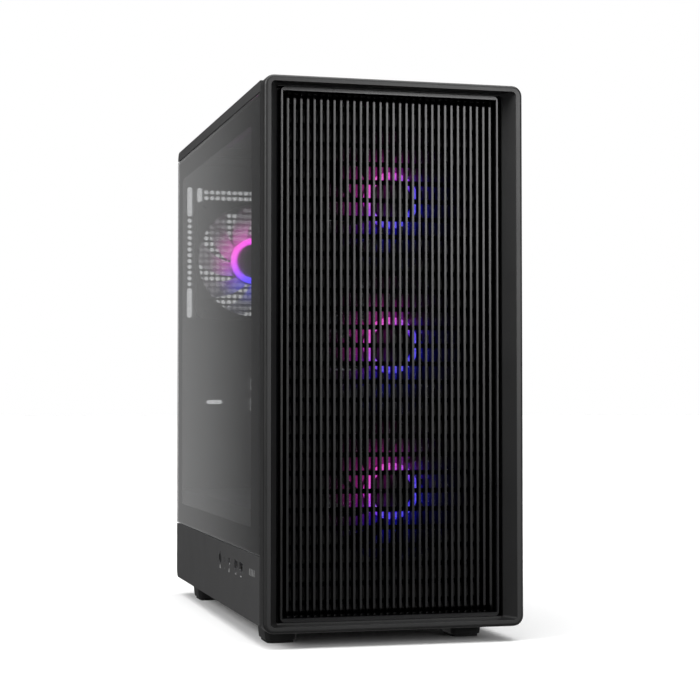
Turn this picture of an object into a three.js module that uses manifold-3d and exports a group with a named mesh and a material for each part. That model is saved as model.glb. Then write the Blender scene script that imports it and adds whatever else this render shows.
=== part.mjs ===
// Desktop computer tower: a steel chassis with a finned front, a glass side and four lit fans,
// and the parts inside that make it a computer.
// Millimetres, +Z up, the front towards -Y and the glass towards -X.
// Pieces are drawn in case coordinates: x from the left side, y from the front face and z from the
// lower edge of the front bezel. The whole group is shifted at the end, so that the origin is the
// middle of the footprint, on the surface that the feet stand on.
import * as THREE from 'three';
import { mergeVertices } from 'three/addons/utils/BufferGeometryUtils.js';
import Module from 'manifold-3d';

const wasm = await Module();
wasm.setup();

// ---------------------------------------------------------------- driving dimensions

const WIDTH = 216;
const HEIGHT = 441;
const DEPTH = 436;
const FOOT_HEIGHT = 12.5;
const GAP = 0.3;
const STEEL = 1.2;
const SIDE_LENGTH_END = 434.4;
const SIDE_CORNER = 8;
const LEFT_FACE = 0.2;
const RIGHT_FACE = WIDTH - 0.2;

const BEZEL_DEPTH = 15.5;
const BEZEL_BACK = 27;
const BEZEL_CORNER = 8.5;
const BEZEL_FILLET = 2.8;
const RIM_SIDE = 5.3;
const RIM_TOP = 5.1;
const RECESS_DEPTH = 14;
const RECESS_SIDE = 13;

const FIN_COUNT = 32;
const FIN_PITCH = 5.5;
const FIN_WIDTH = 1.9;
const FIN_RECESS = 2.5;
const FIN_RAMP = 6;
const GRILLE_DEPTH = 10;
const GRILLE_BOTTOM = 7;
const GRILLE_TOP = 434.2;
const GRILLE_BORDER = 3.2;
const RIB_PITCH = 14.77;
const RIB_FIRST = 21.1;
const RIB_COUNT = 28;
const RIB_HEIGHT = 4;

const GLASS_THICKNESS = 4;
const PANEL_START = 16.5;
const GLASS_BOTTOM = 59.8;
const GLASS_TOP = 428.9;
const WINDOW = { start: 55, end: 407, bottom: 80, top: 408.5 };
const SKIRT_BOTTOM = 4.4;
const SKIRT_TOP = 59;
const BAND_TOP = 438.6;
const BAND_BOTTOM = 429.9;

const FAN_SIZE = 119.6;
const FAN_THICKNESS = 25;
const FAN_BORE = 115;
const FRONT_PLATE_Y = 37;
const FRONT_FAN_X = 116;
const FRONT_FAN_Z = [108.6, 228.6, 348.6];
const REAR_FAN = { x: 78, z: 327 };
const REAR_PLATE_Y = 430.8;
const ROOF_VENT = { left: 34, right: 182, front: 66, back: 374, corner: 6 };
const ROOF_SEAT = { left: 26, right: 190, front: 56, back: 384, corner: 5 };
const SEAT_OPENING = { side: 20, bottom: 11, top: 430 };
const RIB_FRAME = { side: 20.5, bottom: 11.5, top: 429.5, front: 24.4, back: 26.8, edge: 3 };
const CABLE_SLOT = { left: 33.4, right: 49.4, bottom: 180.5, top: 184.6 };
const REAR_SLOTS = [{ x: 15.3, z: 373.5, height: 30.5 }, { x: 15.3, z: 269, height: 30.7 },
  { x: 25.6, z: 388, height: 15.5 }];

const FLOOR_Z = 5;
const ROOF_Z = 427;
const TRAY_X = 190;
const SHROUD_TOP = 94.2;
const SHROUD_SIDE = 6;
const INNER_LEFT = 6;
const INNER_RIGHT = 210;

// ---------------------------------------------------------------- finishes

const finish = (color, roughness, metalness) => ({ color, roughness, metalness });
const BLACK_PLASTIC = finish(0x1d1d1e, 0.55, 0);
const BLACK_STEEL = finish(0x232324, 0.6, 0.3);
const FAN_PLASTIC = finish(0x161618, 0.5, 0);
const BLADE_PLASTIC = finish(0x8a8692, 0.45, 0);
const LIGHT_RING = finish(0xd04be8, 0.4, 0);
const DARK_GLASS = finish(0x3b3c3e, 0.05, 0);
const RUBBER = finish(0x101010, 0.9, 0);
const BARE_METAL = finish(0xb8babd, 0.35, 1);
const BOARD = finish(0x14181c, 0.6, 0);
const GREY_PAINT = finish(0x3a3b3d, 0.5, 0.2);

// ---------------------------------------------------------------- shape helpers

const tower = new THREE.Group();

function addPiece(name, geometry, look, position = [0, 0, 0]) {
  const mesh = new THREE.Mesh(geometry, new THREE.MeshStandardMaterial(look));
  mesh.name = name;
  mesh.position.set(...position);
  tower.add(mesh);
  return mesh;
}

function toSolid(geometry) {
  const bare = geometry.clone();
  bare.deleteAttribute('normal');
  bare.deleteAttribute('uv');
  const merged = mergeVertices(bare, 1e-4);
  const vertProperties = new Float32Array(merged.attributes.position.array);
  const triVerts = new Uint32Array(merged.index.array);
  return new wasm.Manifold(new wasm.Mesh({ numProp: 3, vertProperties, triVerts }));
}

function toGeometry(solid) {
  const mesh = solid.getMesh();
  const geometry = new THREE.BufferGeometry();
  geometry.setAttribute('position', new THREE.BufferAttribute(new Float32Array(mesh.vertProperties), 3));
  geometry.setIndex(new THREE.BufferAttribute(new Uint32Array(mesh.triVerts), 1));
  return geometry;
}

function join(first, ...others) {
  let solid = toSolid(first);
  for (const other of others) solid = solid.add(toSolid(other));
  return toGeometry(solid);
}

function cut(body, ...cutters) {
  let solid = toSolid(body);
  for (const cutter of cutters) solid = solid.subtract(toSolid(cutter));
  return toGeometry(solid);
}

function keepInside(body, limit) {
  return toGeometry(toSolid(body).intersect(toSolid(limit)));
}

function box(x0, x1, y0, y1, z0, z1) {
  const geometry = new THREE.BoxGeometry(x1 - x0, y1 - y0, z1 - z0);
  return geometry.translate((x0 + x1) / 2, (y0 + y1) / 2, (z0 + z1) / 2);
}

// Outlines are drawn as (a, b): (x, z) for a piece along Y, (y, z) along X and (x, y) along Z.
function arcPoints(a, b, radius, from, to, steps) {
  const points = [];
  for (let step = 0; step <= steps; step += 1) {
    const angle = from + ((to - from) * step) / steps;
    points.push(new THREE.Vector2(a + radius * Math.cos(angle), b + radius * Math.sin(angle)));
  }
  return points;
}

function roundedOutline(a0, a1, b0, b1, radius, steps = 2) {
  const quarter = Math.PI / 2;
  const corners = [[a1 - radius, b0 + radius], [a1 - radius, b1 - radius], [a0 + radius, b1 - radius],
    [a0 + radius, b0 + radius]];
  const points = corners.flatMap(([a, b], index) =>
    arcPoints(a, b, radius, (index - 1) * quarter, index * quarter, steps));
  return new THREE.Shape(points);
}

function squareOutline(a0, a1, b0, b1) {
  return new THREE.Shape([[a0, b0], [a1, b0], [a1, b1], [a0, b1]].map(([a, b]) => new THREE.Vector2(a, b)));
}

function circleOutline(a, b, radius, steps = 32) {
  return new THREE.Shape(arcPoints(a, b, radius, 0, 2 * Math.PI * (1 - 1 / steps), steps - 1));
}

// A rounded area of the roof, grown outwards by a margin.
function areaOutline({ left, right, front, back, corner }, margin = 0) {
  return roundedOutline(left - margin, right + margin, front - margin, back + margin, corner);
}

function alongY(shape, y0, y1) {
  const geometry = new THREE.ExtrudeGeometry(shape, { depth: y1 - y0, bevelEnabled: false });
  return geometry.rotateX(Math.PI / 2).translate(0, y1, 0);
}

function alongZ(shape, z0, z1) {
  const geometry = new THREE.ExtrudeGeometry(shape, { depth: z1 - z0, bevelEnabled: false });
  return geometry.translate(0, 0, z0);
}

const SHAPE_TO_YZ = new THREE.Matrix4().makeBasis(
  new THREE.Vector3(0, 1, 0),
  new THREE.Vector3(0, 0, 1),
  new THREE.Vector3(1, 0, 0),
);

function alongX(shape, x0, x1) {
  const geometry = new THREE.ExtrudeGeometry(shape, { depth: x1 - x0, bevelEnabled: false });
  return geometry.applyMatrix4(SHAPE_TO_YZ).translate(x0, 0, 0);
}

// A plate with each of the given outlines punched through it.
function punched(sweep, outline, holes, from, to) {
  const cutters = holes.map((hole) => sweep(hole, from - 1, to + 1));
  return cut(sweep(outline, from, to), ...cutters);
}

// A turned piece about Y: the profile holds [radius, y] points from the front face back.
function turned(profile, segments) {
  const points = profile.map(([radius, y]) => new THREE.Vector2(radius, -y));
  return new THREE.LatheGeometry(points.reverse(), segments).rotateX(Math.PI);
}

// ---------------------------------------------------------------- removable front

function frontBezel() {
  const { PI } = Math;
  const outline = roundedOutline(0, WIDTH, 0, HEIGHT, BEZEL_CORNER, 5);
  const blank = new THREE.ExtrudeGeometry(outline, {
    depth: BEZEL_DEPTH,
    bevelThickness: BEZEL_FILLET,
    bevelSize: BEZEL_FILLET,
    bevelOffset: -BEZEL_FILLET,
    bevelSegments: 3,
  });
  blank.rotateX(PI / 2).translate(0, BEZEL_DEPTH + BEZEL_FILLET, 0);
  const rim = keepInside(blank, box(-1, WIDTH + 1, -1, BEZEL_DEPTH, -1, HEIGHT + 1));

  const middle = WIDTH / 2;
  const frontHalf = middle - RIM_SIDE;
  const backHalf = middle - RECESS_SIDE;
  const cutterOutline = squareOutline(-1, 1, RIM_TOP, HEIGHT - RIM_TOP);
  const recess = alongY(cutterOutline, -1, BEZEL_DEPTH + 1);
  const position = recess.attributes.position;
  for (let i = 0; i < position.count; i += 1) {
    const slope = Math.min(1, position.getY(i) / RECESS_DEPTH);
    const half = frontHalf + (backHalf - frontHalf) * slope;
    position.setX(i, middle + position.getX(i) * half);
  }
  // Four walls behind the rim hold the grille, and a seat behind it holds the rib frame.
  const wallBottom = RIM_TOP - 1.6;
  const wallTop = BAND_TOP - 2.9;
  const walls = [
    box(INNER_LEFT, RECESS_SIDE, BEZEL_DEPTH - 1, BEZEL_BACK, wallBottom, wallTop),
    box(WIDTH - RECESS_SIDE, INNER_RIGHT, BEZEL_DEPTH - 1, BEZEL_BACK, wallBottom, wallTop),
    box(INNER_LEFT, INNER_RIGHT, BEZEL_DEPTH - 1, BEZEL_BACK, wallBottom, GRILLE_BOTTOM - GAP),
    box(INNER_LEFT, INNER_RIGHT, BEZEL_DEPTH - 1, BEZEL_BACK, GRILLE_TOP + GAP, wallTop),
    box(INNER_LEFT, INNER_RIGHT, BEZEL_DEPTH - 1, BEZEL_DEPTH, GRILLE_TOP + GAP, HEIGHT - RIM_TOP + 1),
  ];
  const seat = box(INNER_LEFT, INNER_RIGHT, BEZEL_BACK - 2.4, BEZEL_BACK, wallBottom, wallTop);
  const seatOpening = box(SEAT_OPENING.side, WIDTH - SEAT_OPENING.side, BEZEL_BACK - 3, BEZEL_BACK + 1,
    SEAT_OPENING.bottom, SEAT_OPENING.top);
  return join(cut(rim, recess), ...walls, cut(seat, seatOpening));
}

function frontGrille() {
  const span = FIN_PITCH * (FIN_COUNT + 1);
  const firstBorder = (WIDTH - span) / 2;
  const left = firstBorder - FIN_WIDTH / 2;
  const right = firstBorder + span + FIN_WIDTH / 2;
  const outline = roundedOutline(left, right, GRILLE_BOTTOM, GRILLE_TOP, 4);
  const slotBottom = GRILLE_BOTTOM + GRILLE_BORDER;
  const slotTop = GRILLE_TOP - GRILLE_BORDER;
  const slots = [];
  for (let slot = 0; slot <= FIN_COUNT; slot += 1) {
    const x = firstBorder + FIN_PITCH * slot + FIN_WIDTH / 2;
    slots.push(squareOutline(x, x + FIN_PITCH - FIN_WIDTH, slotBottom, slotTop));
  }
  const front = RECESS_DEPTH;
  const plate = punched(alongY, outline, slots, front, front + GRILLE_DEPTH);
  const sweep = new THREE.Shape();
  sweep.moveTo(front - 0.5, slotBottom + 0.1);
  sweep.lineTo(front + FIN_RECESS, slotBottom + FIN_RAMP);
  sweep.lineTo(front + FIN_RECESS, slotTop - FIN_RAMP);
  sweep.lineTo(front - 0.5, slotTop - 0.1);
  sweep.closePath();
  return cut(plate, alongX(sweep, left + FIN_WIDTH, right - FIN_WIDTH));
}

function ribFrame() {
  const { side, edge } = RIB_FRAME;
  const outline = squareOutline(side, WIDTH - side, RIB_FRAME.bottom, RIB_FRAME.top);
  const gaps = [];
  let bottom = RIB_FRAME.bottom + edge;
  for (let rib = 0; rib < RIB_COUNT; rib += 1) {
    const z = RIB_FIRST + RIB_PITCH * rib - RIB_HEIGHT / 2;
    gaps.push(squareOutline(side + edge, WIDTH - side - edge, bottom, z));
    bottom = z + RIB_HEIGHT;
  }
  return punched(alongY, outline, gaps, RIB_FRAME.front, RIB_FRAME.back);
}

addPiece('front_bezel', frontBezel(), BLACK_PLASTIC);
addPiece('front_grille', frontGrille(), BLACK_PLASTIC);
addPiece('front_rib_frame', ribFrame(), BLACK_PLASTIC);

// ---------------------------------------------------------------- steel chassis

function frontPlate() {
  const outline = squareOutline(INNER_LEFT, INNER_RIGHT, FLOOR_Z + STEEL + GAP, ROOF_Z - GAP);
  const holes = FRONT_FAN_Z.map((z) => circleOutline(FRONT_FAN_X, z, FAN_BORE / 2));
  return punched(alongY, outline, holes, FRONT_PLATE_Y, FRONT_PLATE_Y + STEEL);
}

const PSU = { left: 28, right: 178, front: 290, back: 430.2, bottom: 6.8, top: 92.8 };
const PSU_FAN = { x: 102, y: 362, radius: 58 };
const FILTER = { left: 42, right: 162, front: 276, back: 435 };

function floorPan() {
  const outline = squareOutline(INNER_LEFT, INNER_RIGHT, BEZEL_BACK + 0.4, REAR_PLATE_Y - GAP);
  const vent = circleOutline(PSU_FAN.x, PSU_FAN.y, PSU_FAN.radius);
  const plate = punched(alongZ, outline, [vent], FLOOR_Z, FLOOR_Z + STEEL);
  const rails = [FILTER.left - 2.5, FILTER.right + 0.5].map((x) =>
    box(x, x + 2, FILTER.front - 4, 430, 0.6, FLOOR_Z + 0.5));
  const ledges = [
    box(FILTER.left - 2.5, FILTER.left + 3, FILTER.front - 4, 430, 0.2, 1.2),
    box(FILTER.right - 3, FILTER.right + 2.5, FILTER.front - 4, 430, 0.2, 1.2),
  ];
  return join(plate, ...rails, ...ledges);
}

function roofPlate() {
  const outline = squareOutline(INNER_LEFT, INNER_RIGHT, BEZEL_BACK + 0.4, REAR_PLATE_Y - GAP);
  return punched(alongZ, outline, [areaOutline(ROOF_VENT)], ROOF_Z, ROOF_Z + STEEL);
}

const IO_OPENING = { left: 140, right: 184.5, bottom: 245, top: 403.7 };
const SLOT = { left: 80, right: 180, first: 113, pitch: 20.32, height: 12.7, count: 7 };

function rearPanel() {
  const outline = roundedOutline(4.6, WIDTH - 4.6, SKIRT_BOTTOM, BAND_TOP - 3, 5);
  const holes = [
    circleOutline(REAR_FAN.x, REAR_FAN.z, FAN_BORE / 2),
    squareOutline(IO_OPENING.left, IO_OPENING.right, IO_OPENING.bottom, IO_OPENING.top),
    squareOutline(PSU.left + 4, PSU.right - 4, PSU.bottom + 4, PSU.top - 4),
    roundedOutline(CABLE_SLOT.left, CABLE_SLOT.right, CABLE_SLOT.bottom, CABLE_SLOT.top, 2),
  ];
  for (let slot = 0; slot < SLOT.count; slot += 1) {
    const z = SLOT.first + SLOT.pitch * slot;
    holes.push(squareOutline(SLOT.left, SLOT.right, z, z + SLOT.height));
  }
  for (const { x, z, height } of REAR_SLOTS) {
    holes.push(roundedOutline(x - 2.6, x + 2.6, z, z + height, 2.5));
  }
  return punched(alongY, outline, holes, REAR_PLATE_Y, REAR_PLATE_Y + STEEL);
}

const BOARD_SIZE = { front: 184, back: 428, bottom: 104, top: 409 };

function motherboardTray() {
  const outline = squareOutline(FRONT_PLATE_Y + STEEL + GAP, REAR_PLATE_Y - GAP, FLOOR_Z + STEEL + GAP, ROOF_Z - GAP);
  const holes = [122, 212, 302].map((z) => roundedOutline(142, 168, z, z + 72, 8));
  holes.push(roundedOutline(286, 386, 272, 382, 8));
  const plate = punched(alongX, outline, holes, TRAY_X, TRAY_X + STEEL);
  const posts = [];
  for (const y of [194, 272, 418]) {
    for (const z of [112, 256, 400]) {
      const post = new THREE.CylinderGeometry(3, 3, 5, 6).rotateZ(Math.PI / 2);
      posts.push(post.translate(TRAY_X - 2, y, z));
    }
  }
  return join(plate, ...posts);
}

function psuShroud() {
  const back = REAR_PLATE_Y - GAP;
  const top = box(SHROUD_SIDE, TRAY_X - GAP, 67, back, SHROUD_TOP - STEEL, SHROUD_TOP);
  const side = box(SHROUD_SIDE, SHROUD_SIDE + STEEL, 67, back, FLOOR_Z + STEEL + GAP, SHROUD_TOP);
  const boardWindow = box(0, 20, 76, 212, 26, 62);
  const studs = [74, 418].map((y) => alongX(circleOutline(y, 70, 4, 8), 0, 20));
  const cables = alongZ(roundedOutline(96, 176, 100, 140, 8), SHROUD_TOP - 5, SHROUD_TOP + 5);
  return cut(join(top, side), boardWindow, ...studs, cables);
}

addPiece('chassis_front_plate', frontPlate(), BLACK_STEEL);
addPiece('floor_pan', floorPan(), BLACK_STEEL);
addPiece('roof_plate', roofPlate(), BLACK_STEEL);
addPiece('rear_panel', rearPanel(), BLACK_STEEL);
addPiece('motherboard_tray', motherboardTray(), BLACK_STEEL);
addPiece('power_supply_cover', psuShroud(), BLACK_STEEL);

// ---------------------------------------------------------------- outer panels

const USB_Y = [93.7, 116];
const USB_Z = 44.4;
const AUDIO = { y: 146, z: 44 };
const POWER = { y: 188.6, z: 44.6, radius: 4.8 };
const RESET = { y: 167.7, z: 44, radius: 1.9 };
const BUTTON_CLEARANCE = 0.3;

// The outline of a side piece, whose lower rear corner may be rounded.
function sideOutline(bottom, top, rounded) {
  const end = SIDE_LENGTH_END;
  const foot = rounded
    ? arcPoints(end - SIDE_CORNER, bottom + SIDE_CORNER, SIDE_CORNER, -Math.PI / 2, 0, 4)
    : [new THREE.Vector2(end, bottom)];
  const start = new THREE.Vector2(PANEL_START, bottom);
  return new THREE.Shape([start, ...foot, new THREE.Vector2(end, top), new THREE.Vector2(PANEL_START, top)]);
}

function leftSkirt() {
  const outline = sideOutline(SKIRT_BOTTOM, SKIRT_TOP, true);
  const holes = USB_Y.map((y) => roundedOutline(y - 7.4, y + 7.4, USB_Z - 3.8, USB_Z + 3.8, 0.8));
  holes.push(circleOutline(AUDIO.y, AUDIO.z, 3.6, 16));
  holes.push(circleOutline(POWER.y, POWER.z, POWER.radius + BUTTON_CLEARANCE, 20));
  holes.push(circleOutline(RESET.y, RESET.z, RESET.radius + BUTTON_CLEARANCE, 12));
  const sheet = punched(alongX, outline, holes, LEFT_FACE, 2.6);
  const lip = box(LEFT_FACE, INNER_LEFT - 0.4, PANEL_START, 420, SKIRT_BOTTOM, SKIRT_BOTTOM + 0.4);
  return join(sheet, lip);
}

function rightPanel() {
  const foldInner = 211.7;
  const block = alongX(sideOutline(SKIRT_BOTTOM, GLASS_TOP, true), foldInner, RIGHT_FACE);
  const hollow = box(foldInner - 1, RIGHT_FACE - STEEL, PANEL_START + STEEL, DEPTH + 4,
    SKIRT_BOTTOM + STEEL, GLASS_TOP - STEEL);
  return cut(block, hollow);
}

function glassPanel() {
  return alongX(sideOutline(GLASS_BOTTOM, GLASS_TOP, false), LEFT_FACE, LEFT_FACE + GLASS_THICKNESS);
}

function glassMountFrame() {
  const front = GLASS_THICKNESS + LEFT_FACE + GAP;
  const outline = squareOutline(PANEL_START + 1.5, SIDE_LENGTH_END - 4.6, GLASS_BOTTOM + 1.5, GLASS_TOP - 2.5);
  const window = roundedOutline(WINDOW.start, WINDOW.end, WINDOW.bottom, WINDOW.top, 3);
  const frame = punched(alongX, outline, [window], front, front + 1);
  const studs = [[46, 418], [74, 70], [418, 70], [418, 418]].map(([y, z]) => {
    const stud = new THREE.CylinderGeometry(2.6, 2.6, 8, 8).rotateZ(Math.PI / 2);
    return stud.translate(front + 4.5, y, z);
  });
  return join(frame, ...studs);
}

function topPanel() {
  const outline = new THREE.Shape([
    new THREE.Vector2(PANEL_START, BAND_BOTTOM),
    new THREE.Vector2(SIDE_LENGTH_END, BAND_BOTTOM),
    ...arcPoints(SIDE_LENGTH_END - SIDE_CORNER, BAND_TOP - SIDE_CORNER, SIDE_CORNER, 0, Math.PI / 2, 4),
    new THREE.Vector2(PANEL_START, BAND_TOP),
  ]);
  const block = alongX(outline, LEFT_FACE, RIGHT_FACE);
  const hollow = box(2.8, WIDTH - 2.8, PANEL_START - 1, 429, BAND_BOTTOM - 1, BAND_TOP - 2.6);
  const rearNotch = box(4.2, WIDTH - 4.2, 428, SIDE_LENGTH_END - 1.8, BAND_BOTTOM - 1, BAND_TOP - 2.6);
  const seat = alongZ(areaOutline(ROOF_SEAT), BAND_TOP - 1.6, BAND_TOP + 1);
  const opening = alongZ(areaOutline(ROOF_VENT), BAND_TOP - 5, BAND_TOP + 1);
  return cut(block, hollow, rearNotch, seat, opening);
}

function topFilter() {
  const outline = areaOutline(ROOF_SEAT, -0.4);
  const count = 3;
  const bar = 6;
  const length = (ROOF_VENT.back - ROOF_VENT.front - bar * (count - 1)) / count;
  const windows = [];
  for (let window = 0; window < count; window += 1) {
    const y = ROOF_VENT.front + window * (length + bar);
    windows.push(squareOutline(ROOF_VENT.left + 2, ROOF_VENT.right - 2, y, y + length));
  }
  return punched(alongZ, outline, windows, BAND_TOP - 1.3, BAND_TOP - 0.1);
}

addPiece('left_skirt', leftSkirt(), BLACK_STEEL);
addPiece('right_panel', rightPanel(), BLACK_STEEL);
addPiece('glass_panel', glassPanel(), DARK_GLASS);
addPiece('glass_mount_frame', glassMountFrame(), BLACK_PLASTIC);
addPiece('top_panel', topPanel(), BLACK_STEEL);
addPiece('top_filter', topFilter(), BLACK_PLASTIC);

// ---------------------------------------------------------------- feet

const FOOT = { width: 28, length: 36, taper: 1.5, padHeight: 2.3, padInset: 3 };

function footBlock() {
  const top = FLOOR_Z - GAP;
  const bottom = FOOT.padHeight - FOOT_HEIGHT;
  const halfWidth = FOOT.width / 2;
  const halfLength = FOOT.length / 2;
  const block = alongZ(roundedOutline(-halfWidth, halfWidth, -halfLength, halfLength, 5), bottom, top);
  const position = block.attributes.position;
  for (let i = 0; i < position.count; i += 1) {
    if (position.getZ(i) > 0) continue;
    position.setX(i, position.getX(i) * (1 - FOOT.taper / halfWidth));
    position.setY(i, position.getY(i) * (1 - FOOT.taper / halfLength));
  }
  return block;
}

function footPad() {
  const halfWidth = FOOT.width / 2 - FOOT.padInset;
  const halfLength = FOOT.length / 2 - FOOT.padInset;
  const outline = roundedOutline(-halfWidth, halfWidth, -halfLength, halfLength, 4);
  return alongZ(outline, -FOOT_HEIGHT, FOOT.padHeight - FOOT_HEIGHT - 0.1);
}

for (const [side, x] of [['left', 23], ['right', 180]]) {
  for (const [end, y] of [['front', 56], ['rear', 373]]) {
    addPiece(`foot_${end}_${side}`, footBlock(), BLACK_PLASTIC, [x, y, 0]);
    addPiece(`foot_pad_${end}_${side}`, footPad(), RUBBER, [x, y, 0]);
  }
}

// ---------------------------------------------------------------- front connections

// A round push button with a collar that stays behind the skirt.
function pushButton(radius) {
  const cap = new THREE.CylinderGeometry(radius, radius, 4, 16).rotateZ(Math.PI / 2).translate(2, 0, 0);
  const collar = new THREE.CylinderGeometry(radius + 1.4, radius + 1.4, 1.2, 12).rotateZ(Math.PI / 2);
  return join(cap, collar.translate(3.6, 0, 0));
}

function usbSocket() {
  const shell = box(0, 13, -7, 7, -3.5, 3.5);
  const mouth = box(-1, 11.5, -6.3, 6.3, -2.8, 2.8);
  return cut(shell, mouth);
}

function audioJack() {
  const collar = new THREE.CylinderGeometry(3.3, 3.3, 6, 16).rotateZ(Math.PI / 2).translate(3, 0, 0);
  const body = box(3.4, 13, -4.5, 4.5, -4, 4);
  const bore = new THREE.CylinderGeometry(1.8, 1.8, 12, 12).rotateZ(Math.PI / 2).translate(5, 0, 0);
  return cut(join(collar, body), bore);
}

const BUTTON_FACE = 0.1;
const SOCKET_FACE = 0.9;
addPiece('power_button', pushButton(POWER.radius), BLACK_PLASTIC, [BUTTON_FACE, POWER.y, POWER.z]);
addPiece('reset_button', pushButton(RESET.radius), BLACK_PLASTIC, [BUTTON_FACE, RESET.y, RESET.z]);
addPiece('usb_socket_front', usbSocket(), BARE_METAL, [SOCKET_FACE, USB_Y[0], USB_Z]);
addPiece('usb_socket_rear', usbSocket(), BARE_METAL, [SOCKET_FACE, USB_Y[1], USB_Z]);
addPiece('audio_jack', audioJack(), BLACK_PLASTIC, [SOCKET_FACE, AUDIO.y, AUDIO.z]);
addPiece('front_connector_board', box(14.2, 15.8, 82, 204, 30, 56), BOARD);

// ---------------------------------------------------------------- fans

const HUB = { cap: 17.2, ringInner: 17.5, ringOuter: 23.2, body: 23.5 };

function fanFrame(size, thickness, bore) {
  const half = size / 2;
  const outline = roundedOutline(-half, half, -half, half, 6);
  const ring = punched(alongY, outline, [circleOutline(0, 0, bore / 2)], 0, thickness);
  const strutDepth = 3;
  const motor = alongY(circleOutline(0, 0, 21, 12), thickness - strutDepth, thickness);
  const struts = [];
  for (let arm = 0; arm < 4; arm += 1) {
    const strut = box(15, bore / 2 + 1, thickness - strutDepth, thickness - 0.4, -1.6, 1.6);
    struts.push(strut.rotateY(Math.PI / 4 + (arm * Math.PI) / 2));
  }
  return join(ring, motor, ...struts);
}

// A blade is a strip of a screw surface from the hub out to its tip.
function fanBlade(root, tip, middle, rise, spread, lean) {
  const blade = new THREE.BoxGeometry(1, 1, 1, 1, 1, 2);
  const position = blade.attributes.position;
  const thickness = 1.5;
  for (let i = 0; i < position.count; i += 1) {
    const out = position.getX(i) + 0.5;
    const radius = root + (tip - root) * out;
    const along = position.getZ(i);
    const angle = along * spread + lean * out;
    position.setXYZ(
      i,
      radius * Math.cos(angle),
      middle + along * rise + position.getY(i) * thickness,
      radius * Math.sin(angle),
    );
  }
  return blade;
}

function fanRotor(hub, blades, tip, middle, rise) {
  const parts = [hub];
  const spread = (2 * Math.PI / blades) * 0.72;
  for (let blade = 0; blade < blades; blade += 1) {
    const piece = fanBlade(HUB.body - 5, tip, middle, rise, spread, 0.35);
    parts.push(piece.rotateY((blade * 2 * Math.PI) / blades));
  }
  return join(...parts);
}

function litHub() {
  return turned([[0, 1.5], [HUB.cap, 1.5], [HUB.cap, 8], [HUB.body, 8], [HUB.body, 21], [0, 21]], 18);
}

function lightRing() {
  const profile = [
    [HUB.ringInner, 2], [HUB.ringOuter, 2], [HUB.ringOuter, 7.6], [HUB.ringInner, 7.6], [HUB.ringInner, 2],
  ];
  return turned(profile, 20);
}

function addCaseFan(name, x, y, z) {
  addPiece(`${name}_frame`, fanFrame(FAN_SIZE, FAN_THICKNESS, FAN_BORE), FAN_PLASTIC, [x, y, z]);
  addPiece(`${name}_rotor`, fanRotor(litHub(), 9, FAN_BORE / 2 - 2, 14, 10), BLADE_PLASTIC, [x, y, z]);
  addPiece(`${name}_light_ring`, lightRing(), LIGHT_RING, [x, y, z]);
}

const FRONT_FAN_Y = FRONT_PLATE_Y + STEEL + GAP;
['lower', 'middle', 'upper'].forEach((level, index) => {
  addCaseFan(`front_fan_${level}`, FRONT_FAN_X, FRONT_FAN_Y, FRONT_FAN_Z[index]);
});
addCaseFan('rear_fan', REAR_FAN.x, REAR_PLATE_Y - GAP - FAN_THICKNESS, REAR_FAN.z);

// ---------------------------------------------------------------- motherboard and cooler

const BOARD_X = 183.6;
const COOLER = { x: 122.3, z: 327, frontY: 273 };

function motherboard() {
  const board = box(BOARD_X, BOARD_X + 1.6, BOARD_SIZE.front, BOARD_SIZE.back, BOARD_SIZE.bottom, BOARD_SIZE.top);
  const rearSockets = box(148, BOARD_X + 0.5, 404, BOARD_SIZE.back, 252, 400);
  const powerSocket = box(171, BOARD_X + 0.5, 186, 196, 240, 292);
  const cardSlots = [134, 215].map((z) => box(173, BOARD_X + 0.5, 296, 386, z - 3.6, z + 3.6));
  return join(board, rearSockets, powerSocket, ...cardSlots);
}

// Cooling plates stacked outwards from the processor, all on one core.
function heatsink() {
  const core = box(66, 168, 312, 332, 315, 339);
  const base = box(166, BOARD_X - 0.4, 302, 342, 305, 349);
  const plates = [];
  const count = 12;
  for (let plate = 0; plate < count; plate += 1) {
    const x = 66 + plate * 7.6;
    plates.push(box(x, x + 1, 299, 345, 268, 386));
  }
  return join(core, base, ...plates);
}

function plainHub(front, back) {
  return turned([[0, front], [HUB.cap + 2, front], [HUB.cap + 3, front + 1], [HUB.cap + 3, back], [0, back]], 12);
}

function memoryModule() {
  const board = box(0, 31, 0, 1.4, 0, 133);
  const spreader = box(-2, 24, -2.6, 4, 1, 132);
  return join(board, spreader);
}

addPiece('motherboard', motherboard(), BOARD);
addPiece('processor_heatsink', heatsink(), BARE_METAL);
addPiece('processor_fan_frame', fanFrame(FAN_SIZE, FAN_THICKNESS, FAN_BORE), FAN_PLASTIC,
  [COOLER.x, COOLER.frontY, COOLER.z]);
addPiece('processor_fan_rotor', fanRotor(plainHub(2, 21), 7, FAN_BORE / 2 - 2, 12, 13), FAN_PLASTIC,
  [COOLER.x, COOLER.frontY, COOLER.z]);
addPiece('memory_module_1', memoryModule(), BOARD, [BOARD_X - 31.4, 243, 258]);
addPiece('memory_module_2', memoryModule(), BOARD, [BOARD_X - 31.4, 261, 258]);

// ---------------------------------------------------------------- graphics card

const CARD = { left: 84, right: 172.4, front: 186, back: 426, bottom: 172, top: 211.2 };
const CARD_FANS = { x: 128, y: [246, 346], radius: 42 };

function graphicsCard() {
  const cover = box(CARD.left, CARD.right, CARD.front, CARD.back, CARD.bottom, CARD.top);
  const board = box(CARD.left - 0.6, CARD.right + 0.2, CARD.front + 8, CARD.back + 1, CARD.top - 0.5, CARD.top + 1.5);
  const bracket = box(CARD.left - 2, CARD.right + 6, CARD.back - 0.5, 428.6, CARD.bottom + 1, CARD.top + 4);
  const wells = CARD_FANS.y.map((y) =>
    alongZ(circleOutline(CARD_FANS.x, y, CARD_FANS.radius, 24), CARD.bottom - 1, CARD.bottom + 18));
  return cut(join(cover, board, bracket), ...wells);
}

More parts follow.
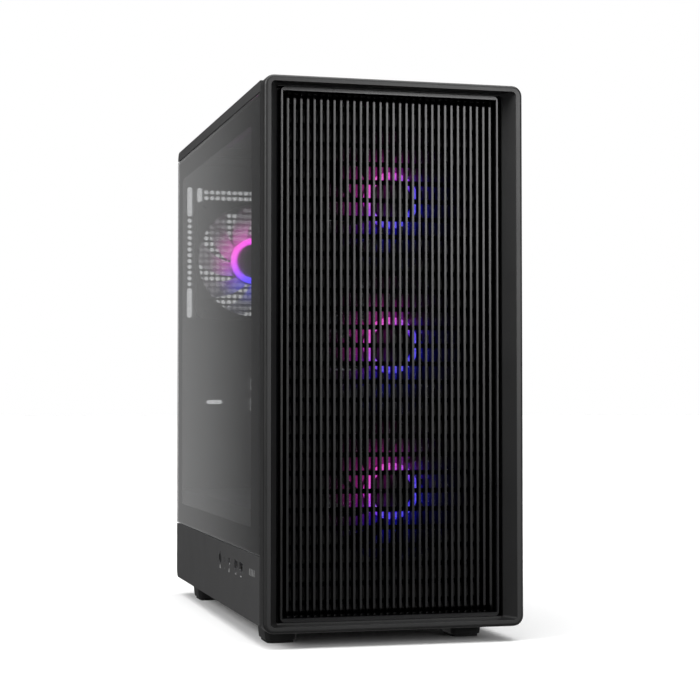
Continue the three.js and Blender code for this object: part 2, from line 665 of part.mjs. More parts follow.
function cardRotor() {
  const rotor = fanRotor(plainHub(1.5, 15), 9, CARD_FANS.radius - 2, 7.5, 8);
  return rotor.rotateX(Math.PI / 2);
}

function slotCovers() {
  const spine = box(SLOT.right + 1, SLOT.right + 5, 429, 430.4, SLOT.first - 2, SLOT.first + SLOT.pitch * 6.8);
  const blades = [];
  for (const slot of [0, 1, 2, 5, 6]) {
    const z = SLOT.first + SLOT.pitch * slot;
    blades.push(box(SLOT.left - 2, SLOT.right + 2, 429.2, 430.4, z - 1.5, z + SLOT.height + 1.5));
  }
  return join(spine, ...blades);
}

addPiece('graphics_card', graphicsCard(), GREY_PAINT);
addPiece('graphics_fan_front', cardRotor(), FAN_PLASTIC, [CARD_FANS.x, CARD_FANS.y[0], CARD.bottom]);
addPiece('graphics_fan_rear', cardRotor(), FAN_PLASTIC, [CARD_FANS.x, CARD_FANS.y[1], CARD.bottom]);
addPiece('slot_covers', slotCovers(), BLACK_STEEL);

// ---------------------------------------------------------------- power supply and storage

const INLET = { x: 54, z: 60 };
const ROCKER = { x: 88, z: 60 };

function powerSupply() {
  const body = box(PSU.left, PSU.right, PSU.front, PSU.back, PSU.bottom, PSU.top);
  const face = box(PSU.left + 4.4, PSU.right - 4.4, PSU.back - 1, 431.6, PSU.bottom + 4.4, PSU.top - 4.4);
  const fanWell = alongZ(circleOutline(PSU_FAN.x, PSU_FAN.y, PSU_FAN.radius), PSU.bottom - 1, 34);
  const inletHole = box(INLET.x - 14.3, INLET.x + 14.3, 410, 433, INLET.z - 11.3, INLET.z + 11.3);
  const rockerHole = box(ROCKER.x - 7, ROCKER.x + 7, 418, 433, ROCKER.z - 10.6, ROCKER.z + 10.6);
  return cut(join(body, face), fanWell, inletHole, rockerHole);
}

function mainsInlet() {
  const body = box(-14, 14, 0, 21, -11, 11);
  const flange = box(-17, 17, 21, 23, -13, 13);
  const mouth = alongY(roundedOutline(-11.8, 11.8, -8, 8, 2), 6, 24);
  return cut(join(body, flange), mouth);
}

// The rocker pivots about X through its middle. Its face is a shallow V, and it rests tipped to one side.
const ROCKER_TIP = (8 * Math.PI) / 180;

function rockerSwitch() {
  const profile = new THREE.Shape();
  profile.moveTo(-5, -6);
  profile.lineTo(3.4, -9);
  profile.lineTo(2.2, 0);
  profile.lineTo(3.4, 9);
  profile.lineTo(-5, 6);
  profile.closePath();
  return alongX(profile, -6.2, 6.2).rotateX(-ROCKER_TIP);
}

function supplyRotor() {
  return fanRotor(plainHub(2, 20), 9, PSU_FAN.radius - 2.5, 11, 10).rotateX(Math.PI / 2);
}

function supplyFilter() {
  const outline = squareOutline(FILTER.left, FILTER.right, FILTER.front, FILTER.back);
  const windows = [[FILTER.front + 8, 350], [354, FILTER.back - 10]].map(([front, back]) =>
    squareOutline(FILTER.left + 8, FILTER.right - 8, front, back));
  const tray = punched(alongZ, outline, windows, 1.6, 4.2);
  const handle = box(82, 122, FILTER.back - 2, DEPTH, -1.5, 4.2);
  return join(tray, handle);
}

addPiece('power_supply', powerSupply(), GREY_PAINT);
addPiece('power_supply_fan', supplyRotor(), FAN_PLASTIC, [PSU_FAN.x, PSU_FAN.y, PSU.bottom]);
addPiece('mains_inlet', mainsInlet(), BLACK_PLASTIC, [INLET.x, 411.1, INLET.z]);
addPiece('mains_rocker', rockerSwitch(), BLACK_PLASTIC, [ROCKER.x, 430, ROCKER.z]);
addPiece('bottom_filter', supplyFilter(), BLACK_PLASTIC);

function driveBracket() {
  const plate = box(TRAY_X + STEEL + GAP, TRAY_X + STEEL + GAP + 1, 172, 282, 180, 264);
  const hooks = box(TRAY_X + STEEL + GAP, TRAY_X + STEEL + 9, 172, 173, 180, 264);
  return join(plate, hooks);
}

addPiece('drive_bracket', driveBracket(), BLACK_STEEL);
addPiece('solid_state_drive', box(TRAY_X + 3, TRAY_X + 10, 176, 276, 187, 257), GREY_PAINT);

// ---------------------------------------------------------------- place in the part's own frame

tower.position.set(-WIDTH / 2, -DEPTH / 2, FOOT_HEIGHT);
export default tower;
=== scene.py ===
# %% [markdown]
# # Desktop computer tower
# This lesson dresses a finished CAD model of a tower computer: a steel chassis with a finned front,
# a glass side, four lit fans and the parts inside. The CAD nodes are the frame. They say where
# everything is, and they never move. Each new piece is modelled over its node and rides on its body.

# %% Load the frame
import math
import bpy
from mathutils import Matrix, Vector


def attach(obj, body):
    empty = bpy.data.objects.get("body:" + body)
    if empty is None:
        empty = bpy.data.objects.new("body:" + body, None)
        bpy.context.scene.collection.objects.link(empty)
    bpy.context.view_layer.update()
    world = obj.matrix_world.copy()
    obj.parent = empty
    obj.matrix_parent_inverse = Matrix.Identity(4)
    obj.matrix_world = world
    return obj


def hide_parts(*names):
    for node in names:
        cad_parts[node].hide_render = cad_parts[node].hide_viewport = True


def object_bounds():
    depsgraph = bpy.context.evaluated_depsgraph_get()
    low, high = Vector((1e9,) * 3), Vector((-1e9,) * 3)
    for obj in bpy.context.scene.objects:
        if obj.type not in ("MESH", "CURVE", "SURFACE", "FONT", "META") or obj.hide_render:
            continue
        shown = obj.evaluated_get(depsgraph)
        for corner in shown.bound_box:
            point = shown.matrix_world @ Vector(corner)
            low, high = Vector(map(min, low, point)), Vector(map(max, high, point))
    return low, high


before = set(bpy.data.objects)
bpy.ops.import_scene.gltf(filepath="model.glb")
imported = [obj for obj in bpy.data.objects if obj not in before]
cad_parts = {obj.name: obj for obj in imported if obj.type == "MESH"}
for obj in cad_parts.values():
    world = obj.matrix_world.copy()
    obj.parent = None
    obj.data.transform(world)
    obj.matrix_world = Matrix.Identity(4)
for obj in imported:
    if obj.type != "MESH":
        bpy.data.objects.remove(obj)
cad_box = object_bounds()
print("CAD box:", [list(corner) for corner in cad_box])

# %% [markdown]
# Lengths on a computer case are easiest to think of in millimetres from its own lower left front
# corner: x to the right, y to the back, z up from the lower edge of the bezel. Blender works in
# metres round the middle of the footprint, so one small function changes the first into the second.

# %% Case millimetres
MM = 0.001
FOOT_HEIGHT = 12.5
WIDTH = 216
HEIGHT = 441
CASE_CORNER = Vector(cad_box[0]) + Vector((0, 0, FOOT_HEIGHT * MM))


def at(x, y, z):
    return CASE_CORNER + Vector((x, y, z)) * MM


def in_case(point):
    return (point - CASE_CORNER) / MM


print("case corner:", tuple(round(value, 4) for value in CASE_CORNER))

# %% [markdown]
# The case is seen from the front left, from a little below its middle and from far enough away
# that its edges nearly stay parallel. That is a long lens on a low stand, aimed slightly up.

# %% Camera
camera_data = bpy.data.cameras.new("camera")
camera_data.sensor_width = 36
camera_data.lens = 89.07
camera = bpy.data.objects.new("camera", camera_data)
camera.location = at(-278.24, -1331.14, 179.27)
camera.rotation_euler = (math.radians(91.8255), 0, math.radians(-14.6535))
bpy.context.scene.collection.objects.link(camera)
bpy.context.scene.camera = camera
bpy.context.scene.view_settings.view_transform = "Standard"
print("camera at", tuple(round(value, 3) for value in camera.location))

# %% [markdown]
# A black object is lit by what it reflects. Large soft panels give its flat faces an even grey and
# its rounded edges a quiet line, and a white floor and backdrop set off the outline. The panels are
# area lights. A wide soft sun whitens the floor. The world is white where it is seen directly or
# through the object. What the object mirrors is a dim room that grows lighter behind it, and the
# floor is left out of mirror images, so that the glass stays dark down to its lower edge.

# %% Studio light and floor
def add_panel(name, place, aim, width, height, power):
    light = bpy.data.lights.new(name, "AREA")
    light.shape = "RECTANGLE"
    light.size = width
    light.size_y = height
    light.energy = power
    panel = bpy.data.objects.new(name, light)
    panel.location = place
    panel.rotation_euler = (Vector(aim) - Vector(place)).to_track_quat("-Z", "Y").to_euler()
    bpy.context.scene.collection.objects.link(panel)
    return panel


add_panel("panel_front", (1.6, -3.0, 1.15), (0, 0, 0.3), 2.0, 1.3, 66)
add_panel("panel_left", (-2.0, -0.9, 1.4), (0, 0, 0.3), 1.3, 1.1, 46)

sky = bpy.data.lights.new("sky_above", "SUN")
sky.energy = 3.4
sky.angle = math.radians(70)
sky_light = bpy.data.objects.new("sky_above", sky)
bpy.context.scene.collection.objects.link(sky_light)

world = bpy.data.worlds.new("studio")
bpy.context.scene.world = world
world.use_nodes = True
world_nodes, world_link = world.node_tree.nodes, world.node_tree.links.new
backdrop = world_nodes["Background"]
backdrop.inputs["Color"].default_value = (1, 1, 1, 1)
backdrop.inputs["Strength"].default_value = 1.0


def world_range(value, low, high, start, end):
    node = world_nodes.new("ShaderNodeMapRange")
    node.interpolation_type = "SMOOTHSTEP"
    for socket, number in zip(("From Min", "From Max", "To Min", "To Max"), (low, high, start, end)):
        node.inputs[socket].default_value = number
    world_link(value, node.inputs["Value"])
    return node.outputs["Result"]


def world_math(kind, first, second):
    node = world_nodes.new("ShaderNodeMath")
    node.operation = kind
    world_link(first, node.inputs[0])
    world_link(second, node.inputs[1])
    return node.outputs[0]


direction = world_nodes.new("ShaderNodeTexCoord")
parts = world_nodes.new("ShaderNodeSeparateXYZ")
world_link(direction.outputs["Generated"], parts.inputs["Vector"])
towards_back = world_range(parts.outputs["Y"], 0.2, 0.9, 0.0, 1.0)
towards_right = world_range(parts.outputs["X"], -0.215, -0.15, 0.0, 0.30)
seen_through = world_range(parts.outputs["X"], -0.05, 0.05, 0.0, 1.0)
fill = world_nodes.new("ShaderNodeBackground")
fill.inputs["Color"].default_value = (1, 1, 1, 1)
room = world_nodes.new("ShaderNodeMath")
room.operation = "ADD"
room.inputs[1].default_value = 0.06
world_link(world_math("MULTIPLY", towards_back, towards_right), room.inputs[0])
world_link(room.outputs[0], fill.inputs["Strength"])
ray = world_nodes.new("ShaderNodeLightPath")
through = world_math("MULTIPLY", ray.outputs["Is Transmission Ray"], seen_through)
straight = world_math("MAXIMUM", ray.outputs["Is Camera Ray"], through)
choice = world_nodes.new("ShaderNodeMixShader")
world_link(straight, choice.inputs["Fac"])
world_link(fill.outputs["Background"], choice.inputs[1])
world_link(backdrop.outputs["Background"], choice.inputs[2])
world_link(choice.outputs["Shader"], world_nodes["World Output"].inputs["Surface"])

bpy.ops.mesh.primitive_plane_add(size=60, location=(0, 0, 0))
floor = bpy.context.object
floor.name = "floor"
floor_paint = bpy.data.materials.new("floor_paint")
floor_paint.use_nodes = True
floor_nodes, floor_link = floor_paint.node_tree.nodes, floor_paint.node_tree.links.new
paper = floor_nodes["Principled BSDF"]
paper.inputs["Base Color"].default_value = (0.97, 0.97, 0.97, 1)
paper.inputs["Roughness"].default_value = 0.9
unseen = floor_nodes.new("ShaderNodeBsdfTransparent")
floor_ray = floor_nodes.new("ShaderNodeLightPath")
floor_mix = floor_nodes.new("ShaderNodeMixShader")
bounced = floor_nodes.new("ShaderNodeMath")
bounced.operation = "MAXIMUM"
floor_link(floor_ray.outputs["Is Glossy Ray"], bounced.inputs[0])
floor_link(floor_ray.outputs["Is Transmission Ray"], bounced.inputs[1])
floor_link(bounced.outputs[0], floor_mix.inputs["Fac"])
floor_link(paper.outputs["BSDF"], floor_mix.inputs[1])
floor_link(unseen.outputs["BSDF"], floor_mix.inputs[2])
floor_link(floor_mix.outputs["Shader"], floor_nodes["Material Output"].inputs["Surface"])
floor.data.materials.append(floor_paint)

# %% [markdown]
# Nearly everything here is moulded plastic or powder-coated steel, and both have a fine random
# texture that breaks up reflections. One node group makes that texture, and each material sets its
# size and depth. The group gives out a colour, a roughness and a height, and the shader stays in
# the material.

# %% The surface grain group
def make_grain_group():
    group = bpy.data.node_groups.new("surface_grain", "ShaderNodeTree")
    add = group.interface.new_socket
    add("Color", in_out="INPUT", socket_type="NodeSocketColor")
    for name in ("Grain Scale", "Shade Change", "Roughness", "Roughness Change"):
        add(name, in_out="INPUT", socket_type="NodeSocketFloat")
    add("Color", in_out="OUTPUT", socket_type="NodeSocketColor")
    add("Roughness", in_out="OUTPUT", socket_type="NodeSocketFloat")
    add("Height", in_out="OUTPUT", socket_type="NodeSocketFloat")
    nodes, link = group.nodes, group.links.new
    given, result = nodes.new("NodeGroupInput"), nodes.new("NodeGroupOutput")
    place = nodes.new("ShaderNodeTexCoord")
    fine, broad = nodes.new("ShaderNodeTexNoise"), nodes.new("ShaderNodeTexNoise")
    fine.inputs["Detail"].default_value = 2
    broad.inputs["Scale"].default_value = 22
    broad.inputs["Detail"].default_value = 3
    link(place.outputs["Object"], fine.inputs["Vector"])
    link(place.outputs["Object"], broad.inputs["Vector"])
    link(given.outputs["Grain Scale"], fine.inputs["Scale"])

    def math_node(kind, *inputs):
        node = nodes.new("ShaderNodeMath")
        node.operation = kind
        for index, value in enumerate(inputs):
            if isinstance(value, (int, float)):
                node.inputs[index].default_value = value
            else:
                link(value, node.inputs[index])
        return node.outputs[0]

    both = math_node("ADD", fine.outputs["Fac"], broad.outputs["Fac"])
    swing = math_node("SUBTRACT", both, 1.0)
    shade = math_node("ADD", 1.0, math_node("MULTIPLY", swing, given.outputs["Shade Change"]))
    tint = nodes.new("ShaderNodeVectorMath")
    tint.operation = "SCALE"
    link(given.outputs["Color"], tint.inputs["Vector"])
    link(shade, tint.inputs["Scale"])
    link(tint.outputs["Vector"], result.inputs["Color"])
    rough = math_node("ADD", given.outputs["Roughness"],
                      math_node("MULTIPLY", swing, given.outputs["Roughness Change"]))
    link(rough, result.inputs["Roughness"])
    link(fine.outputs["Fac"], result.inputs["Height"])
    return group


GRAIN = make_grain_group()
print("grain group sockets:", [item.name for item in GRAIN.interface.items_tree])

# %% [markdown]
# A finish is then a short recipe: a colour, how rough it is, whether it is metal, and how coarse and
# deep its grain is. Moulded ABS has an etched grain of about half a millimetre. Powder coat is a
# little coarser and softer. Anodised and plated metal is almost smooth.

# %% Finishes with grain
def make_finish(name, colour, roughness, metallic=0.0, grain=1800, depth=0.12, change=0.10, coat=0.0):
    look = bpy.data.materials.new(name)
    look.use_nodes = True
    nodes, link = look.node_tree.nodes, look.node_tree.links.new
    shader = nodes["Principled BSDF"]
    shader.inputs["Metallic"].default_value = metallic
    shader.inputs["Coat Weight"].default_value = coat
    group = nodes.new("ShaderNodeGroup")
    group.node_tree = GRAIN
    group.inputs["Color"].default_value = (*colour, 1)
    group.inputs["Grain Scale"].default_value = grain
    group.inputs["Shade Change"].default_value = change
    group.inputs["Roughness"].default_value = roughness
    group.inputs["Roughness Change"].default_value = 0.12
    bump = nodes.new("ShaderNodeBump")
    bump.inputs["Strength"].default_value = depth
    bump.inputs["Distance"].default_value = 0.0002
    link(group.outputs["Color"], shader.inputs["Base Color"])
    link(group.outputs["Roughness"], shader.inputs["Roughness"])
    link(group.outputs["Height"], bump.inputs["Height"])
    link(bump.outputs["Normal"], shader.inputs["Normal"])
    return look


def paint_depth_shade(look, front, back):
    """Fades the finish to dull black between two depths: painted shade for the dark deep between close fins.
    """
    nodes, link = look.node_tree.nodes, look.node_tree.links.new
    shader = nodes["Principled BSDF"]
    place, split = nodes.new("ShaderNodeTexCoord"), nodes.new("ShaderNodeSeparateXYZ")
    link(place.outputs["Object"], split.inputs["Vector"])
    for end, socket in ((0.5, "Specular IOR Level"), (1.0, None)):
        fade = nodes.new("ShaderNodeMapRange")
        fade.inputs["From Min"].default_value = at(0, front, 0).y
        fade.inputs["From Max"].default_value = at(0, back, 0).y
        fade.inputs["To Min"].default_value = end
        fade.inputs["To Max"].default_value = end * 0.06
        link(split.outputs["Y"], fade.inputs["Value"])
        if socket:
            link(fade.outputs["Result"], shader.inputs[socket])
            continue
        scale = nodes.new("ShaderNodeVectorMath")
        scale.operation = "SCALE"
        link(shader.inputs["Base Color"].links[0].from_socket, scale.inputs["Vector"])
        link(fade.outputs["Result"], scale.inputs["Scale"])
        link(scale.outputs["Vector"], shader.inputs["Base Color"])
    return look


moulded_black = make_finish("moulded_black", (0.009, 0.009, 0.0092), 0.44)
# The fin and rib finishes fade to near black with depth: painted shade between the fins and on the ribs
# behind them.
fin_black_painted_shade = paint_depth_shade(make_finish("fin_black_painted_shade", (0.005, 0.005, 0.0055), 0.30, depth=0.05), 16.65, 17.4)
rib_black_painted_shade = paint_depth_shade(make_finish("rib_black_painted_shade", (0.003, 0.003, 0.003), 0.55, depth=0.05), 20, 24)
coated_steel = make_finish("coated_steel", (0.034, 0.034, 0.0345), 0.48, grain=1200, depth=0.16)
# The inside sheets share the outer panels' black steel, made about five times darker as painted shade for the
# dim inside of the case.
inner_steel_painted_shade = make_finish("inner_steel_painted_shade", (0.007, 0.007, 0.0073), 0.50, grain=1200, depth=0.16)
printed_black = make_finish("printed_black", (0.004, 0.004, 0.0043), 0.75, depth=0.04)
fan_black = make_finish("fan_black", (0.006, 0.006, 0.007), 0.40, depth=0.08)
soft_rubber = make_finish("soft_rubber", (0.010, 0.010, 0.010), 0.85, grain=2500, depth=0.3)
plated_metal = make_finish("plated_metal", (0.62, 0.62, 0.64), 0.24, 1.0, grain=900, depth=0.03)
satin_metal = make_finish("satin_metal", (0.58, 0.59, 0.61), 0.36, 1.0, grain=1500, depth=0.05)
copper = make_finish("copper", (0.72, 0.36, 0.22), 0.28, 1.0, grain=900, depth=0.03)
gilt = make_finish("gilt", (0.80, 0.60, 0.26), 0.25, 1.0, grain=900, depth=0.02)
solder_mask = make_finish("solder_mask", (0.012, 0.014, 0.018), 0.34, grain=600, depth=0.10, change=0.25)
dark_shell = make_finish("dark_shell", (0.035, 0.035, 0.038), 0.42, depth=0.10)
pale_print = make_finish("pale_print", (0.30, 0.30, 0.30), 0.60, depth=0.03, change=0.05)
socket_plastic = make_finish("socket_plastic", (0.012, 0.012, 0.013), 0.35, depth=0.04)
blue_plastic = make_finish("blue_plastic", (0.02, 0.09, 0.42), 0.38, depth=0.04)
filter_nylon = make_finish("filter_nylon", (0.016, 0.016, 0.017), 0.60, grain=3000, depth=0.2)
print("finishes:", len([look for look in bpy.data.materials if look.name != "floor_paint"]))

# %% [markdown]
# The side is tempered glass with a light grey tint. Real glass also lets lamps shine through it,
# which a path tracer finds hard, so rays on their way to a light pass straight through.

# %% Tinted glass
def make_glass():
    look = bpy.data.materials.new("tinted_glass")
    look.use_nodes = True
    nodes, link = look.node_tree.nodes, look.node_tree.links.new
    shader = nodes["Principled BSDF"]
    shader.inputs["Base Color"].default_value = (0.72, 0.73, 0.74, 1)
    shader.inputs["Roughness"].default_value = 0.02
    shader.inputs["IOR"].default_value = 1.5
    shader.inputs["Transmission Weight"].default_value = 1.0
    clear = nodes.new("ShaderNodeBsdfTransparent")
    clear.inputs["Color"].default_value = (0.62, 0.63, 0.64, 1)
    ray_kind = nodes.new("ShaderNodeLightPath")
    mix = nodes.new("ShaderNodeMixShader")
    link(ray_kind.outputs["Is Shadow Ray"], mix.inputs["Fac"])
    link(shader.outputs["BSDF"], mix.inputs[1])
    link(clear.outputs["BSDF"], mix.inputs[2])
    link(mix.outputs["Shader"], nodes["Material Output"].inputs["Surface"])
    return look


tinted_glass = make_glass()
print("glass:", tinted_glass.name)

# %% [markdown]
# The lights are coloured diodes round each fan's hub. They shine into a milky ring and into the
# roots of the milky blades, and the colour runs round from pink at the upper left to deep blue at
# the lower right. Both are one recipe: a gradient across the hub picks the colour, and the distance
# from the hub fades it.

# %% Lit plastic
GLOW_COLOURS = [(0.0, (0.005, 0.005, 0.95)), (0.35, (0.06, 0.008, 1.0)), (0.6, (0.40, 0.01, 0.95)),
                (0.8, (0.80, 0.02, 0.75)), (1.0, (1.0, 0.04, 0.66))]


def make_lit(name, centre, colour, strength, near, far, alpha=1.0):
    """Plastic lit from a hub at centre. The light fades from near to far, in metres."""
    look = bpy.data.materials.new(name)
    look.use_nodes = True
    nodes, link = look.node_tree.nodes, look.node_tree.links.new
    shader = nodes["Principled BSDF"]
    shader.inputs["Base Color"].default_value = (*colour, 1)
    shader.inputs["Roughness"].default_value = 0.35
    shader.inputs["Alpha"].default_value = alpha
    shader.inputs["Emission Strength"].default_value = strength
    place, shift = nodes.new("ShaderNodeTexCoord"), nodes.new("ShaderNodeMapping")
    shift.inputs["Location"].default_value = [-value for value in centre]
    link(place.outputs["Object"], shift.inputs["Vector"])
    split = nodes.new("ShaderNodeSeparateXYZ")
    link(shift.outputs["Vector"], split.inputs["Vector"])
    across = nodes.new("ShaderNodeMath")
    across.operation = "SUBTRACT"
    link(split.outputs["Z"], across.inputs[0])
    link(split.outputs["X"], across.inputs[1])
    spread = nodes.new("ShaderNodeMapRange")
    spread.inputs["From Min"].default_value = -0.034
    spread.inputs["From Max"].default_value = 0.034
    link(across.outputs[0], spread.inputs["Value"])
    ramp = nodes.new("ShaderNodeValToRGB")
    stops = ramp.color_ramp.elements
    while len(stops) < len(GLOW_COLOURS):
        stops.new(0.5)
    for stop, (position, shade) in zip(stops, GLOW_COLOURS):
        stop.position = position
        stop.color = (*shade, 1)
    link(spread.outputs["Result"], ramp.inputs["Fac"])
    flat = nodes.new("ShaderNodeCombineXYZ")
    link(split.outputs["X"], flat.inputs["X"])
    link(split.outputs["Z"], flat.inputs["Z"])
    reach = nodes.new("ShaderNodeVectorMath")
    reach.operation = "LENGTH"
    link(flat.outputs["Vector"], reach.inputs[0])
    fade = nodes.new("ShaderNodeMapRange")
    fade.interpolation_type = "SMOOTHSTEP"
    fade.inputs["From Min"].default_value = near
    fade.inputs["From Max"].default_value = far
    fade.inputs["To Min"].default_value = 1.0
    fade.inputs["To Max"].default_value = 0.02
    link(reach.outputs["Value"], fade.inputs["Value"])
    dim = nodes.new("ShaderNodeVectorMath")
    dim.operation = "SCALE"
    link(ramp.outputs["Color"], dim.inputs["Vector"])
    link(fade.outputs["Result"], dim.inputs["Scale"])
    link(dim.outputs["Vector"], shader.inputs["Emission Color"])
    return look


print("glow colours:", len(GLOW_COLOURS))

# %% [markdown]
# Every piece starts as a primitive and is shaped with Blender's own tools. These helpers keep the
# lesson short. Only one object may be selected when a tool runs, so each helper first clears the
# selection. Faces and edges are chosen by where they are and which way they face.

# %% Modelling helpers
def select_only(*pieces):
    if bpy.context.object and bpy.context.object.mode != "OBJECT":
        bpy.ops.object.mode_set(mode="OBJECT")
    bpy.ops.object.select_all(action="DESELECT")
    for piece in pieces:
        piece.select_set(True)
    bpy.context.view_layer.objects.active = pieces[0]


def settle(piece, name):
    select_only(piece)
    bpy.ops.object.transform_apply(location=True, rotation=True, scale=True)
    piece.name = name
    piece.data.name = name
    return piece


def add_block(name, low, high):
    """A box between two corners in case millimetres."""
    a, b = at(*low), at(*high)
    bpy.ops.object.select_all(action="DESELECT")
    bpy.ops.mesh.primitive_cube_add(size=1, location=(a + b) / 2, scale=b - a)
    return settle(bpy.context.object, name)


TURN_TO = {"x": (0, math.pi / 2, 0), "y": (math.pi / 2, 0, 0), "z": (0, 0, 0)}


def add_rod(name, middle, radius, length, axis, sides=32):
    """A cylinder along an axis, its middle in case millimetres."""
    bpy.ops.object.select_all(action="DESELECT")
    bpy.ops.mesh.primitive_cylinder_add(vertices=sides, radius=radius * MM, depth=length * MM,
                                        location=at(*middle), rotation=TURN_TO[axis])
    return settle(bpy.context.object, name)


def open_faces(piece, wanted):
    """Enters edit mode with just the faces for which wanted(middle, normal) is true."""
    select_only(piece)
    bpy.context.tool_settings.mesh_select_mode = (False, False, True)
    bpy.ops.object.mode_set(mode="EDIT")
    bpy.ops.mesh.select_all(action="DESELECT")
    bpy.ops.object.mode_set(mode="OBJECT")
    for face in piece.data.polygons:
        face.select = bool(wanted(in_case(face.center), face.normal))
    bpy.ops.object.mode_set(mode="EDIT")


def open_edges(piece, wanted):
    """Enters edit mode with just the edges for which wanted(end, end) is true."""
    select_only(piece)
    bpy.context.tool_settings.mesh_select_mode = (False, True, False)
    bpy.ops.object.mode_set(mode="EDIT")
    bpy.ops.mesh.select_all(action="DESELECT")
    bpy.ops.object.mode_set(mode="OBJECT")
    points = piece.data.vertices
    for edge in piece.data.edges:
        ends = [in_case(points[index].co) for index in edge.vertices]
        edge.select = bool(wanted(*ends))
    bpy.ops.object.mode_set(mode="EDIT")


def close_edit():
    bpy.ops.object.mode_set(mode="OBJECT")


def inset(piece, wanted, thickness, depth=0.0):
    open_faces(piece, wanted)
    bpy.ops.mesh.inset(thickness=thickness * MM, depth=depth * MM)
    close_edit()


def extrude(piece, wanted, x=0, y=0, z=0):
    open_faces(piece, wanted)
    bpy.ops.mesh.extrude_region_move(TRANSFORM_OT_translate={"value": Vector((x, y, z)) * MM})
    close_edit()


def bevel(piece, wanted, width, segments):
    open_edges(piece, wanted)
    bpy.ops.mesh.bevel(offset=width * MM, segments=segments, affect="EDGES")
    close_edit()


def along(axis, *places):
    """A test for edges along an axis (0, 1 or 2), at any of the places given for the other two axes."""
    others = [index for index in (0, 1, 2) if index != axis]

    def wanted(a, b):
        if any(abs(a[index] - b[index]) > 0.01 for index in others):
            return False
        if not places:
            return True
        return any(
            all(abs(a[index] - value) < 0.05 for index, value in zip(others, place) if value is not None)
            for place in places)
    return wanted


def apply_modifier(piece, kind, **settings):
    select_only(piece)
    modifier = piece.modifiers.new(kind.lower(), kind)
    for key, value in settings.items():
        setattr(modifier, key, value)
    bpy.ops.object.modifier_apply(modifier=modifier.name)


def soften(piece, width, segments=2, angle=35):
    """Rounds the sharp edges a little, shades round parts smooth and keeps flat faces flat."""
    if width:
        apply_modifier(piece, "BEVEL", width=width * MM, segments=segments, limit_method="ANGLE",
                       angle_limit=math.radians(angle))
    select_only(piece)
    bpy.ops.object.shade_smooth_by_angle(angle=math.radians(30))
    apply_modifier(piece, "WEIGHTED_NORMAL", keep_sharp=True, weight=100)
    return piece


def weld(name, *pieces):
    """Joins pieces into the first."""
    select_only(*pieces)
    bpy.ops.object.join()
    pieces[0].name = name
    pieces[0].data.name = name
    return pieces[0]


def punch(piece, *cutters):
    """Cuts the cutters out of the piece, and removes them."""
    cutter = weld("cutter", *cutters) if len(cutters) > 1 else cutters[0]
    apply_modifier(piece, "BOOLEAN", operation="DIFFERENCE", solver="EXACT", object=cutter,
                   use_self=False)
    bpy.data.objects.remove(cutter, do_unlink=True)
    return piece


def copy_of(piece, name, x=0, y=0, z=0):
    twin = piece.copy()
    twin.data = piece.data.copy()
    twin.name = name
    twin.data.name = name
    twin.data.transform(Matrix.Translation(Vector((x, y, z)) * MM))
    bpy.context.scene.collection.objects.link(twin)
    return twin


def turned_copy(piece, name, middle, axis, angle):
    twin = copy_of(piece, name)
    place = Matrix.Translation(at(*middle))
    twin.data.transform(place @ Matrix.Rotation(angle, 4, axis) @ place.inverted())
    return twin


def row_of(piece, count, x=0, y=0, z=0):
    """Repeats the piece in a straight row."""
    apply_modifier(piece, "ARRAY", count=count, use_relative_offset=False, use_constant_offset=True,
                   constant_offset_displace=Vector((x, y, z)) * MM)
    return piece


FINISHED = []


def finish_piece(piece, look, body, slot, *nodes):
    """Gives the piece its finish and its body, and hides the CAD nodes that it stands for."""
    piece.data.materials.clear()
    piece.data.materials.append(look)
    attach(piece, body)
    if nodes:
        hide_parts(*nodes)
    FINISHED.append(piece.name)
    return piece


print("helpers ready")

# %% [markdown]
# The front bezel is one moulding: a rounded frame whose inner walls slope in towards the grille. A
# block gets rounded corners, then a rounded front edge, and a tapered block cuts out the middle.
# Behind it stand four plain walls, which hold the grille, and a seat for the rib frame.

# %% Front bezel
RIM = 5.2
RECESS = 13
GRILLE_FRONT = 14
bezel = add_block("front_bezel_shell", (0, 0, 0), (WIDTH, 15.5, HEIGHT))
bevel(bezel, along(1), 8.5, 6)
bevel(bezel, lambda a, b: a.y < 0.01 and b.y < 0.01, 2.8, 4)
mouth = add_block("mouth", (RIM, -1, RIM), (WIDTH - RIM, GRILLE_FRONT, HEIGHT - RIM))
bevel(mouth, along(1), 3.2, 4)
open_faces(mouth, lambda middle, normal: normal.y > 0.9)
narrowing = 1 - 2 * (RECESS - RIM) / (WIDTH - 2 * RIM)
bpy.ops.transform.resize(value=(narrowing, 1, 1), center_override=at(WIDTH / 2, 0, 0))
bpy.ops.mesh.extrude_region_move(TRANSFORM_OT_translate={"value": Vector((0, 4, 0)) * MM})
close_edit()
punch(bezel, mouth)
soften(bezel, 0.25, 2, 40)
walls = [
    add_block("wall", (6, 15, 3.5), (13, 27, 435.7)),
    add_block("wall", (203, 15, 3.5), (210, 27, 435.7)),
    add_block("wall", (6, 15, 3.5), (210, 27, 6.7)),
    add_block("wall", (6, 15, 434.5), (210, 27, 435.7)),
]
seat = add_block("seat", (6.5, 24.7, 4), (209.5, 26.9, 435.4))
punch(seat, add_block("cutter", (20, 20, 11), (196, 30, 430)))
bezel = weld("front_bezel_shell", bezel, soften(seat, 0), *walls)
finish_piece(bezel, moulded_black, "front_cover", "black_plastic", "front_bezel")
print("bezel faces:", len(bezel.data.polygons))

# %% [markdown]
# The grille is a row of thin upright fins in a narrow border. Each fin stands back from the border,
# and near its ends it thins and sinks deeper, which leaves a row of dark notches along the border.
# One fin is made from a block, cut across near both ends, pushed back, and pinched and pushed
# further back beyond the cuts. Then it is repeated.

# %% Grille fins
FIN_COUNT = 32
FIN_PITCH = 5.5
FIN_WIDTH = 1.9
FIN_RECESS = 2.5
FIN_RAMP = 6
FIN_END_DEPTH = 3.5
GRILLE_BOTTOM, GRILLE_TOP = 7, 434.2
BORDER = 3.2
first_line = (WIDTH - FIN_PITCH * (FIN_COUNT + 1)) / 2
slot_bottom, slot_top = GRILLE_BOTTOM + BORDER, GRILLE_TOP - BORDER

